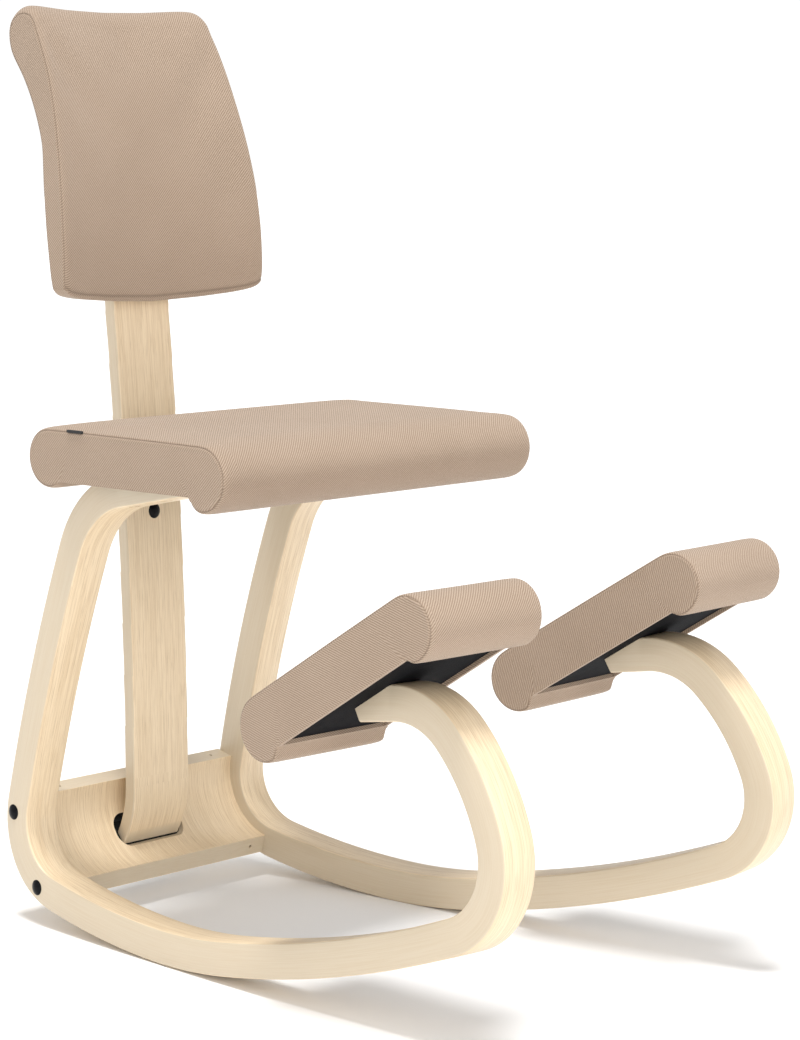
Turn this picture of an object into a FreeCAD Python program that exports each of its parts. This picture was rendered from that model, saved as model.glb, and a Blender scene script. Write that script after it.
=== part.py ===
# Kneeling chair on two bent-wood rockers: seat, two knee rests, upright back.
# Millimetres, +Z up, the front faces -Y. Lengths called s run forward, so Y is -s.
import os
import math
import FreeCAD
import Part

os.makedirs("parts", exist_ok=True)

V = FreeCAD.Vector

# rockers: one bent bar each, toed out and leaned in at the top
bar_width = 38.7
bar_thick = 33.7
bar_gap_half = 194.4
toe_out = 3.65
lean_in = 1.98
seat_rail_end = (-183.5, 456.5)
seat_rail_heading = 191.08
seat_rail_length = 150.0
# bends of the bar's centre line: length, radius
bar_bends = [
    (104.6, 103.65),
    (282.8, 1896.0),
    (113.5, 71.6),
    (168.8, 945.0),
    (106.2, 621.5),
    (322.9, 1405.9),
    (112.8, 72.5),
    (100.2, 208.4),
    (74.0, 84.6),
]
knee_rail_length = 75.0
knee_end_low = (172.5, 279.8)
knee_end_high = (167.1, 289.2)

# rear cross piece
cross_centre = (-272.2, 106.4)
cross_outer_r = 86.4
cross_thick = 20.0
cross_from = 163.8
cross_to = 254.6
slot_half = 46.0
slot_floor_z = 56.0
slot_top_z = 88.0
slot_corner_r = 13.0
pilot_r = 1.75
pilot_depth = 10.0
pilot_top_x = 108.0
pilot_front_x = 116.0
cross_bolt_angles = (177.4, 243.0)

# back post
post_half = 39.0
post_thick = 15.0
post_front_s = -306.0
post_front_z = 130.0
post_curve_r = 5150.0
post_top_z = 800.0
foot_bend_z = 120.0
foot_bend_r = 118.0
foot_gap = 1.6
post_bolt_z = 410.0

# seat
seat_half = 217.0
seat_rear = (-228.5, 488.7, 30.3)
seat_front = (-11.0, 484.0, 33.3)
seat_wall_z = 466.0
seat_cover_z = 470.0
seat_cover_thick = 2.5
seat_board_thick = 12.0
seat_pocket = (-213.0, -29.0)
seat_wall = 6.0
seat_drawn = 5.0

tag_s = (179.0, 201.0)
tag_z = 514.5
tag_high = 3.2
tag_thick = 1.2

# knee rests, in their own slope: u runs forward along it, w is square to it
knee_half = 70.0
knee_slope = 31.2
knee_toe = 2.7
knee_origin = (171.0, 96.5, 267.1)
knee_length = 219.5
knee_rear_r = 32.0
knee_front_r = 31.0
knee_wall_w = -22.0
knee_cover_w = -18.0
knee_cover_thick = 2.5
knee_board_thick = 9.0
knee_pocket = (13.0, 203.0)
knee_wall = 5.0
knee_drawn = 4.0
knee_bolts_u = (90.0, 120.0)

# backrest
back_wrap = 18.0
back_half = 130.0
back_bottom_z = 629.5
back_board_thick = 6.0
back_house = 1.8
back_screws_z = (672.0, 760.0)
back_screws_x = 22.0

# small parts
soft_gap = 0.3
cap_r = 8.0
cap_dome = 2.6
cap_deep = 3.0
bolt_r = 3.0
bolt_head_r = 5.4
bolt_head_h = 4.0
hole_slack = 0.05
insert_r = 4.6
insert_length = 17.0
nut_flange_r = 9.0
nut_flange_h = 1.4
nut_barrel_r = 4.4
screw_r = 2.2
screw_head_r = 4.6
screw_head_h = 2.6


def at(s, z, x=0.0):
    return V(x, -s, z)


def arc(a, b, c):
    return Part.Arc(a, b, c).toShape()


def line(a, b):
    return Part.makeLine(a, b)


def face_of(edges):
    return Part.Face(Part.Wire(edges))


def turn(shape, axis, angle, centre=None):
    out = shape.copy()
    out.rotate(centre or V(0, 0, 0), axis, angle)
    return out


def move(shape, x, y, z):
    out = shape.copy()
    out.translate(V(x, y, z))
    return out


def mirrored(shape):
    return shape.mirror(V(0, 0, 0), V(1, 0, 0))


def box(x0, x1, y0, y1, z0, z1):
    return Part.makeBox(x1 - x0, y1 - y0, z1 - z0, V(x0, y0, z0))


def rod(radius, length, base, axis):
    return Part.makeCylinder(radius, length, base, axis)


def save(name, shape):
    shape.exportStep("parts/" + name + ".step")


# bent bar profile
def step_along(point, heading, length, radius):
    a = math.radians(heading)
    if radius is None:
        end = (point[0] + length * math.cos(a), point[1] + length * math.sin(a))
        return end, heading
    b = a + length / radius
    s = point[0] + radius * (math.sin(b) - math.sin(a))
    z = point[1] - radius * (math.cos(b) - math.cos(a))
    return (s, z), math.degrees(b)


def beside(point, heading, shift):
    a = math.radians(heading)
    return at(point[0] - shift * math.sin(a), point[1] + shift * math.cos(a))


def side_edge(point, heading, length, radius, shift):
    end, turned = step_along(point, heading, length, radius)
    first = beside(point, heading, shift)
    last = beside(end, turned, shift)
    if radius is None:
        return line(first, last)
    half, mid = step_along(point, heading, length / 2, radius)
    return arc(first, beside(half, mid, shift), last)


def bar_path():
    a = math.radians(seat_rail_heading)
    s = seat_rail_end[0] - seat_rail_length * math.cos(a)
    z = seat_rail_end[1] - seat_rail_length * math.sin(a)
    pieces = [((s, z), seat_rail_heading, seat_rail_length, None)]
    point, heading = step_along((s, z), seat_rail_heading, seat_rail_length, None)
    for length, radius in bar_bends:
        pieces.append((point, heading, length, radius))
        point, heading = step_along(point, heading, length, radius)
    pieces.append((point, heading, knee_rail_length, None))
    return pieces


def bar_face():
    half = bar_thick / 2
    inner = []
    outer = []
    for point, heading, length, radius in bar_path():
        inner.append(side_edge(point, heading, length, radius, half))
        outer.append(side_edge(point, heading, length, radius, -half))
    point, heading, length, radius = bar_path()[0]
    start = line(beside(point, heading, -half), beside(point, heading, half))
    point, heading, length, radius = bar_path()[-1]
    end, turned = step_along(point, heading, length, radius)
    last = line(beside(end, turned, half), beside(end, turned, -half))
    return face_of([start] + inner + [last] + outer)


def lean(shape):
    # from the bar's own upright frame to its place on the left side
    out = turn(shape, V(0, 1, 0), -lean_in)
    out = turn(out, V(0, 0, 1), toe_out)
    return move(out, bar_gap_half, 0, 0)


def knee_place(shape):
    out = turn(shape, V(1, 0, 0), -knee_slope)
    out = turn(out, V(0, 0, 1), knee_toe)
    return move(out, knee_origin[0], -knee_origin[1], knee_origin[2])


def knee_end_cut():
    # squares off the tip of the bar below the knee rest
    ds = knee_end_high[0] - knee_end_low[0]
    dz = knee_end_high[1] - knee_end_low[1]
    size = math.hypot(ds, dz)
    a = at(knee_end_low[0] - 40 * ds / size, knee_end_low[1] - 40 * dz / size, -60)
    b = at(knee_end_low[0] + 60 * ds / size, knee_end_low[1] + 60 * dz / size, -60)
    back = V(0, 70 * dz / size, 70 * ds / size)
    wire = Part.makePolygon([a, b, b + back, a + back, a])
    return Part.Face(wire).extrude(V(80, 0, 0))


def left_bar():
    bar = bar_face().extrude(V(-bar_width, 0, 0))
    bar = bar.cut(knee_end_cut())
    bar = round_long_edges(bar)
    bar = lean(bar)
    bar = bar.cut(box(60, 330, -60, 300, seat_cover_z, 560))
    above = box(-90, 90, -330, 30, knee_cover_w, 160)
    return bar.cut(knee_place(above))


def round_long_edges(bar):
    edges = []
    for edge in bar.Edges:
        box_e = edge.BoundBox
        flat = box_e.XLength < 0.01
        if flat and edge.Length > 40:
            edges.append(edge)
    return bar.makeFillet(2.0, edges)


# rear cross piece
def band(inner, outer, first, last, half):
    def point(radius, angle):
        a = math.radians(angle)
        return at(cross_centre[0] + radius * math.cos(a),
                  cross_centre[1] + radius * math.sin(a), -half)
    mid = (first + last) / 2
    edges = [
        arc(point(inner, first), point(inner, mid), point(inner, last)),
        line(point(inner, last), point(outer, last)),
        arc(point(outer, last), point(outer, mid), point(outer, first)),
        line(point(outer, first), point(inner, first)),
    ]
    return face_of(edges).extrude(V(2 * half, 0, 0))


def between_bars():
    room = lean(box(-bar_width - 400, -bar_width, -200, 500, -100, 400))
    return room.common(mirrored(room))


def slot_tool(half, floor_z, radius, y0, y1):
    # closed hole with round corners that the post's foot steps into
    k = radius * (1 - math.sqrt(0.5))
    top = slot_top_z
    a = V(-half, y0, floor_z + radius)
    b = V(-half + radius, y0, floor_z)
    c = V(half - radius, y0, floor_z)
    d = V(half, y0, floor_z + radius)
    e = V(half, y0, top - radius)
    f = V(half - radius, y0, top)
    g = V(-half + radius, y0, top)
    h = V(-half, y0, top - radius)
    edges = [
        arc(a, V(-half + k, y0, floor_z + k), b),
        line(b, c),
        arc(c, V(half - k, y0, floor_z + k), d),
        line(d, e),
        arc(e, V(half - k, y0, top - k), f),
        line(f, g),
        arc(g, V(-half + k, y0, top - k), h),
        line(h, a),
    ]
    return face_of(edges).extrude(V(0, y1 - y0, 0))


def ring_point(angle, radius, x=0.0):
    a = math.radians(angle)
    return at(cross_centre[0] + radius * math.cos(a),
              cross_centre[1] + radius * math.sin(a), x)


def cross_piece():
    inner = cross_outer_r - cross_thick
    shape = band(inner, cross_outer_r, cross_from, cross_to, 170)
    shape = shape.common(between_bars())
    shape = shape.cut(slot_tool(slot_half, slot_floor_z, slot_corner_r, 290, 400))
    mid = cross_outer_r - cross_thick / 2
    top = ring_point(cross_from, mid)
    low = ring_point(cross_to, mid)
    for side in (-1, 1):
        hole = rod(pilot_r, 60, V(side * pilot_top_x, top.y, top.z - pilot_depth), V(0, 0, 1))
        shape = shape.cut(hole)
        hole = rod(pilot_r, 60, V(side * pilot_front_x, low.y + pilot_depth, low.z), V(0, -1, 0))
        shape = shape.cut(hole)
    return shape


def cross_bolt_spots():
    spots = []
    for angle in cross_bolt_angles:
        p = ring_point(angle, cross_outer_r - cross_thick / 2)
        spots.append((p.y, p.z))
    return spots


def on_bar(shape):
    return lean(shape)


def cap(radius, outward):
    # domed cap whose skirt sits in a counterbore; the dome stands proud of x = 0
    skirt = rod(radius, cap_deep, V(-cap_deep, 0, 0), V(1, 0, 0))
    ball_r = (radius * radius + cap_dome * cap_dome) / (2 * cap_dome)
    ball = Part.makeSphere(ball_r, V(cap_dome - ball_r, 0, 0))
    dome = ball.common(rod(radius, 20, V(0, 0, 0), V(1, 0, 0)))
    return skirt.fuse(dome).removeSplitter()


def cross_bolt():
    # head behind its cap, shank through the bar into the cross piece
    seat = -cap_deep - hole_slack
    head = rod(bolt_head_r, bolt_head_h, V(seat - bolt_head_h, 0, 0), V(1, 0, 0))
    length = bar_width + insert_length
    shank = rod(bolt_r, length + seat, V(-length, 0, 0), V(1, 0, 0))
    return head.fuse(shank).removeSplitter()


def cross_insert():
    body = rod(insert_r, insert_length, V(-bar_width - insert_length, 0, 0), V(1, 0, 0))
    bore = rod(bolt_r, insert_length + 2, V(-bar_width - insert_length - 1, 0, 0), V(1, 0, 0))
    return body.cut(bore)


def cross_bolt_hole():
    deep = cap_deep + bolt_head_h + hole_slack
    wide = rod(cap_r, deep + 1, V(-deep, 0, 0), V(1, 0, 0))
    thin = rod(bolt_r + hole_slack, bar_width + 4, V(-bar_width - 2, 0, 0), V(1, 0, 0))
    return wide.fuse(thin)


def at_cross_bolts(maker):
    out = []
    for y, z in cross_bolt_spots():
        out.append(lean(move(maker(), 0, y, z)))
    return out


def both_sides(shapes):
    out = []
    for shape in shapes:
        out.append(shape)
        out.append(mirrored(shape))
    return Part.makeCompound(out)


# back post
def post_s(z):
    return post_front_s - (z - post_front_z) ** 2 / (2 * post_curve_r)


def post_solid():
    r = post_curve_r
    cs = post_front_s - r
    cz = post_front_z
    def on(radius, z):
        return at(cs + math.sqrt(radius * radius - (z - cz) ** 2), z, -post_half)
    back = r - post_thick
    k = foot_bend_r
    ks = post_front_s - k
    lower = math.radians(-33.0)
    def foot(radius, a):
        return at(ks + radius * math.cos(a), foot_bend_z + radius * math.sin(a), -post_half)
    top = post_top_z
    mid = (post_front_z + top) / 2
    edges = [
        line(foot(k, 0), on(r, cz)),
        arc(on(r, cz), on(r, mid), on(r, top)),
        line(on(r, top), on(back, top)),
        arc(on(back, top), on(back, mid), on(back, cz)),
        line(on(back, cz), foot(k - post_thick, 0)),
        arc(foot(k - post_thick, 0), foot(k - post_thick, lower / 2), foot(k - post_thick, lower)),
        line(foot(k - post_thick, lower), foot(k, lower)),
        arc(foot(k, lower), foot(k, lower / 2), foot(k, 0)),
    ]
    solid = face_of(edges).extrude(V(2 * post_half, 0, 0))
    solid = solid.cut(box(-60, 60, 200, 420, 0, slot_floor_z + foot_gap))
    corners = [e for e in solid.Edges if abs(e.BoundBox.XLength) < 0.01 and e.Length > 80]
    solid = solid.makeFillet(2.0, corners)
    return solid


def top_rounding():
    tool = box(-60, 60, 300, 420, post_top_z - 20, post_top_z + 5)
    keep = rod(20, 200, V(-post_half + 20, 300, post_top_z - 20), V(0, 1, 0))
    keep = keep.fuse(rod(20, 200, V(post_half - 20, 300, post_top_z - 20), V(0, 1, 0)))
    keep = keep.fuse(box(-post_half + 20, post_half - 20, 290, 430, post_top_z - 30, post_top_z + 6))
    return tool.cut(keep)


def foot_bush():
    # black shoe that fills the slot's lower corners around the post's foot
    inner = cross_outer_r - cross_thick
    ring = band(inner + 5.0, cross_outer_r, 190, 232, 80)
    block = ring.common(slot_tool(slot_half - hole_slack, slot_floor_z, slot_corner_r, 290, 400))
    block = block.common(box(-60, 60, 300, 400, slot_floor_z, 79))
    return block


def foot_strap():
    strap = band(cross_outer_r, cross_outer_r + 2.5, 196, 226, 68)
    return strap


# cushions: sections across the width, joined by lofts
def cushion_section(x, rear, front, wall, pocket, shrink, crown):
    # rear and front are rounded noses given as centre and radius
    rs, rz, rr = rear
    fs, fz, fr = front
    rr = rr - shrink
    fr = fr - shrink
    k = math.sqrt(0.5)
    mid_s = (rs + fs) / 2
    mid_z = (rz + rr + fz + fr) / 2 + crown
    lip_r = (pocket[0] - 2.0, wall)
    lip_f = (pocket[1] + 2.0, wall)
    def low_mid(lip, s0, z0, radius):
        # bulged front of the lip, from the wall's edge to the lip's lowest point
        s = lip[0] + (s0 - lip[0]) * 0.35
        z = z0 - radius + (lip[1] - (z0 - radius)) * 0.30
        return at(s, z, x)
    top_r = at(rs, rz + rr, x)
    top_f = at(fs, fz + fr, x)
    low_r = at(rs, rz - rr, x)
    low_f = at(fs, fz - fr, x)
    nose_r = at(rs - rr, rz, x)
    nose_f = at(fs + fr, fz, x)
    edges = [
        arc(top_r, at(rs - rr * k, rz + rr * k, x), nose_r),
        arc(nose_r, at(rs - rr * k, rz - rr * k, x), low_r),
        arc(low_r, low_mid(lip_r, rs, rz, rr), at(lip_r[0], lip_r[1], x)),
        line(at(lip_r[0], lip_r[1], x), at(lip_f[0], lip_f[1], x)),
        arc(at(lip_f[0], lip_f[1], x), low_mid(lip_f, fs, fz, fr), low_f),
        arc(low_f, at(fs + fr * k, fz - fr * k, x), nose_f),
        arc(nose_f, at(fs + fr * k, fz + fr * k, x), top_f),
        arc(top_f, at(mid_s, mid_z, x), top_r),
    ]
    return Part.Wire(edges)


def cushion(half, drawn, rear, front, wall, pocket, crown):
    stations = [
        (-half, drawn, crown * 0.2),
        (-half + 2.0, drawn * 0.45, crown * 0.4),
        (-half + 7.0, drawn * 0.08, crown * 0.6),
        (-half * 0.55, 0.0, crown),
        (half * 0.55, 0.0, crown),
        (half - 7.0, drawn * 0.08, crown * 0.6),
        (half - 2.0, drawn * 0.45, crown * 0.4),
        (half, drawn, crown * 0.2),
    ]
    wires = []
    for x, shrink, rise in stations:
        wires.append(cushion_section(x, rear, front, wall, pocket, shrink, rise))
    return Part.makeLoft(wires, True, True)


def seat_cushion():
    shape = cushion(seat_half, seat_drawn, seat_rear, seat_front, seat_wall_z, seat_pocket, 2.0)
    top = seat_cover_z + seat_cover_thick + seat_board_thick + soft_gap
    hollow = seat_half - seat_wall
    return shape.cut(box(-hollow, hollow, -seat_pocket[1], -seat_pocket[0], 430, top))


def seat_plate(z0, z1):
    half = seat_half - seat_wall - soft_gap
    y0 = -seat_pocket[1] + soft_gap
    y1 = -seat_pocket[0] - soft_gap
    return box(-half, half, y0, y1, z0, z1)


def seat_board():
    z = seat_cover_z + seat_cover_thick
    return seat_plate(z, z + seat_board_thick)


def seat_cover():
    return seat_plate(seat_cover_z, seat_cover_z + seat_cover_thick)


def seat_tag():
    x = -seat_half - soft_gap
    return box(x - tag_thick, x, tag_s[0], tag_s[1], tag_z - tag_high, tag_z)


def knee_cushion():
    rear = (0.0, 0.0, knee_rear_r)
    front = (knee_length, 0.0, knee_front_r)
    shape = cushion(knee_half, knee_drawn, rear, front, knee_wall_w, knee_pocket, 1.5)
    top = knee_cover_w + knee_cover_thick + knee_board_thick + soft_gap
    hollow = knee_half - knee_wall
    return shape.cut(box(-hollow, hollow, -knee_pocket[1], -knee_pocket[0], -50, top))


def knee_plate(w0, w1):
    half = knee_half - knee_wall - soft_gap
    return box(-half, half, -knee_pocket[1] + soft_gap, -knee_pocket[0] - soft_gap, w0, w1)


def knee_board():
    w = knee_cover_w + knee_cover_thick
    return knee_plate(w, w + knee_board_thick)


def knee_cover():
    return knee_plate(knee_cover_w, knee_cover_w + knee_cover_thick)


# bolts that come up through the bars into tee nuts in the boards
def up_bolt(x, y, head_z, tip_z):
    head = rod(bolt_head_r, bolt_head_h, V(x, y, head_z - bolt_head_h), V(0, 0, 1))
    shank = rod(bolt_r, tip_z - head_z, V(x, y, head_z), V(0, 0, 1))
    return head.fuse(shank).removeSplitter()


def up_hole(x, y, head_z, tip_z, low_z):
    thin = rod(bolt_r + hole_slack, tip_z - head_z + 1, V(x, y, head_z - 0.5), V(0, 0, 1))
    wide = rod(bolt_head_r + 0.6, head_z - low_z, V(x, y, low_z), V(0, 0, 1))
    return thin.fuse(wide)


def tee_nut(x, y, board_top, board_thick):
    flange = rod(nut_flange_r, nut_flange_h, V(x, y, board_top - nut_flange_h), V(0, 0, 1))
    barrel = rod(nut_barrel_r, board_thick - 1.0, V(x, y, board_top - board_thick + 1.0), V(0, 0, 1))
    bore = rod(bolt_r, board_thick + 2, V(x, y, board_top - board_thick - 1), V(0, 0, 1))
    return flange.fuse(barrel).removeSplitter().cut(bore)


def tee_nut_room(x, y, board_top, board_thick):
    flange = rod(nut_flange_r, nut_flange_h + 1, V(x, y, board_top - nut_flange_h), V(0, 0, 1))
    barrel = rod(nut_barrel_r, board_thick - 1.0, V(x, y, board_top - board_thick + 1.0), V(0, 0, 1))
    thin = rod(bolt_r + hole_slack, board_thick + 2, V(x, y, board_top - board_thick - 1), V(0, 0, 1))
    return flange.fuse(barrel).fuse(thin)


def rail_middle_x(s, z):
    probe = lean(Part.Vertex(-bar_width / 2, -s, z))
    return probe.Point.x


seat_bolts_s = (-178.0, -128.0)


def seat_bolt_spots():
    spots = []
    for s in seat_bolts_s:
        x = rail_middle_x(s, 455.0)
        spots.append((x, -s))
        spots.append((-x, -s))
    return spots


def bar_underside(s):
    # height of the seat rail's lower face above the floor line
    a = math.radians(seat_rail_heading - 180)
    drop = bar_thick / 2 / math.cos(a)
    return seat_rail_end[1] + (s - seat_rail_end[0]) * math.tan(a) - drop


# backrest: slices across the width, wrapped forward at the sides
def back_slice(x, pts):
    f0, f1, f2, f3, f4, t1, t2, r4, r3, r2, r1, r0 = pts
    shift = back_wrap * ((x / back_half) ** 2 - 1)
    def p(q):
        return at(q[0] + shift, q[1], x)
    edges = [
        arc(p(f0), p(f1), p(f2)),
        arc(p(f2), p(f3), p(f4)),
        arc(p(f4), p(t1), p(t2)),
        arc(p(t2), p(r4), p(r3)),
        arc(p(r3), p(r2), p(r1)),
        line(p(r1), p(r0)),
        line(p(r0), p(f0)),
    ]
    return Part.Wire(edges)


def back_rear(z):
    # the pad's back follows the post's front face
    return post_s(z) + back_wrap - back_house


def cushion_profile():
    low = back_bottom_z - 8
    return [
        (-291.5, low), (-292.5, 712), (-304.5, 795),
        (-323.0, 857), (-349.5, 914),
        (-370.0, 933.5), (-394.0, 917),
        (-392.5, 897), (-379.0, 873),
        (-353.0, 836), (back_rear(790), 790),
        (back_rear(low), low),
    ]


def back_lofted(profile):
    wires = []
    for x in (-146.0, -73.0, 0.0, 73.0, 146.0):
        wires.append(back_slice(x, profile))
    return Part.makeLoft(wires, True, False)


def back_outline(inset, y0, y1):
    k = inset
    def p(x, z):
        return V(x, y0, z)
    right = [
        arc(p(0, back_bottom_z + k), p(64, back_bottom_z + 2.6 + k), p(120 - k, 639.5 + k)),
        arc(p(120 - k, 639.5 + k), p(133.5 - k, 645 + k), p(138.5 - k, 658 + k)),
        arc(p(138.5 - k, 658 + k), p(136.6 - k, 752), p(124.6 - k, 860)),
        arc(p(124.6 - k, 860), p(119.0 - k, 893), p(111.5 - k, 921 - k)),
        arc(p(111.5 - k, 921 - k), p(106 - k, 929.5 - k), p(96 - k, 932.6 - k)),
        arc(p(96 - k, 932.6 - k), p(50, 930.2 - k), p(0, 929.2 - k)),
    ]
    wire = Part.Wire(right)
    other = wire.mirror(V(0, 0, 0), V(1, 0, 0))
    whole = Part.Wire(right + other.Edges)
    return Part.Face(whole).extrude(V(0, y1 - y0, 0))


def back_board():
    low = 652.0
    high = 842.0
    def rear(z):
        return back_rear(min(z, 790)) - max(0.0, z - 790) * 0.40
    t = back_board_thick
    half = 122.0
    wires = []
    for x in (-128.0, -64.0, 0.0, 64.0, 128.0):
        shift = back_wrap * ((x / back_half) ** 2 - 1)
        def p(s, z):
            return at(s + shift, z, x)
        m = (low + 790) / 2
        edges = [
            arc(p(rear(low), low), p(rear(m), m), p(rear(790), 790)),
            line(p(rear(790), 790), p(rear(high), high)),
            line(p(rear(high), high), p(rear(high) + t, high)),
            line(p(rear(high) + t, high), p(rear(790) + t, 790)),
            arc(p(rear(790) + t, 790), p(rear(m) + t, m), p(rear(low) + t, low)),
            line(p(rear(low) + t, low), p(rear(low), low)),
        ]
        wires.append(Part.Wire(edges))
    slab = Part.makeLoft(wires, True, False)
    outline = back_outline(12.0, 280, 440)
    return slab.common(outline)


def plate_path(points, thick, x0, x1):
    # bent flat steel: a polyline of (s, z) thickened to its left
    left = []
    n = len(points)
    for i in range(n):
        dirs = []
        if i > 0:
            dirs.append(unit(points[i - 1], points[i]))
        if i < n - 1:
            dirs.append(unit(points[i], points[i + 1]))
        ds = sum(d[0] for d in dirs) / len(dirs)
        dz = sum(d[1] for d in dirs) / len(dirs)
        size = math.hypot(ds, dz)
        k = thick / size / size
        left.append((points[i][0] - dz * k, points[i][1] + ds * k))
    ring = [at(s, z, x0) for s, z in points]
    ring += [at(s, z, x0) for s, z in reversed(left)]
    ring.append(ring[0])
    return Part.Face(Part.makePolygon(ring)).extrude(V(x1 - x0, 0, 0))


def unit(a, b):
    size = math.hypot(b[0] - a[0], b[1] - a[1])
    return ((b[0] - a[0]) / size, (b[1] - a[1]) / size)


bracket_thick = 3.5
bracket_half = 52.0
flange_half = 26.0
arm_half = 34.0


def post_slope(z):
    return math.asin((z - post_front_z) / post_curve_r)


def post_back_point(z):
    a = post_slope(z)
    return (post_s(z) - post_thick * math.cos(a), z - post_thick * math.sin(a))


def post_bracket():
    top_z = 450.5
    behind = post_back_point(top_z)
    low = post_back_point(392.0)
    gap = 0.0
    points = [
        (-140.0, seat_cover_z),
        (-204.0, seat_cover_z),
        (-224.0, top_z + bracket_thick),
        (behind[0] - gap - bracket_thick, top_z + bracket_thick),
        (low[0] - gap - bracket_thick, low[1]),
    ]
    whole = plate_path(points, bracket_thick, -bracket_half, bracket_half)
    window = box(-post_half - 0.6, post_half + 0.6, 0, 400, top_z - 3, top_z + 12)
    window = window.common(box(-60, 60, -post_s(top_z) - 2.0, -behind[0], 400, 480))
    shape = whole.cut(window)
    for side in (-1, 1):
        x0, x1 = sorted((side * flange_half, side * (bracket_half + 1)))
        shape = shape.cut(box(x0, x1, 300, 400, 380, top_z - 0.5))
        x0, x1 = sorted((side * arm_half, side * (bracket_half + 1)))
        shape = shape.cut(box(x0, x1, 100, 222, 440, 480))
    return shape


def post_bolt_frame(shape):
    # from an axis along +X at the origin to the bolt's axis out of the post's front
    a = math.degrees(post_slope(post_bolt_z))
    out = turn(shape, V(0, 0, 1), -90)
    out = turn(out, V(1, 0, 0), -a)
    return move(out, 0, -post_s(post_bolt_z), post_bolt_z)


def post_bolt():
    seat = -cap_deep - hole_slack
    head = rod(bolt_head_r, bolt_head_h, V(seat - bolt_head_h, 0, 0), V(1, 0, 0))
    length = post_thick + bracket_thick + 9.0
    shank = rod(bolt_r, length + seat, V(-length, 0, 0), V(1, 0, 0))
    return head.fuse(shank).removeSplitter()


def post_bolt_hole():
    deep = cap_deep + bolt_head_h + hole_slack
    wide = rod(cap_r, deep + 3, V(-deep, 0, 0), V(1, 0, 0))
    thin = rod(bolt_r + hole_slack, 40, V(-38, 0, 0), V(1, 0, 0))
    return wide.fuse(thin)


def hex_nut(across, high, bore, x0):
    ring = []
    for i in range(7):
        a = math.radians(60 * i)
        r = across / 2 / math.cos(math.radians(30))
        ring.append(V(x0, r * math.cos(a), r * math.sin(a)))
    body = Part.Face(Part.makePolygon(ring)).extrude(V(-high, 0, 0))
    return body.cut(rod(bore, high + 2, V(x0 + 1, 0, 0), V(-1, 0, 0)))


def back_screw_at(x, z):
    # screw from the post's back into the backrest board
    a = math.degrees(post_slope(z))
    head = rod(screw_head_r, screw_head_h, V(0, 0, 0), V(0, 1, 0))
    shank = rod(screw_r, post_thick + 4.0, V(0, 0, 0), V(0, -1, 0))
    piece = head.fuse(shank).removeSplitter()
    piece = turn(piece, V(1, 0, 0), -a)
    p = post_back_point(z)
    return move(piece, x, -p[0], p[1])


def back_screw_hole(x, z):
    a = math.degrees(post_slope(z))
    hole = rod(screw_r + hole_slack, 60, V(0, 30, 0), V(0, -1, 0))
    hole = turn(hole, V(1, 0, 0), -a)
    p = post_back_point(z)
    return move(hole, x, -p[0], p[1])


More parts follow.
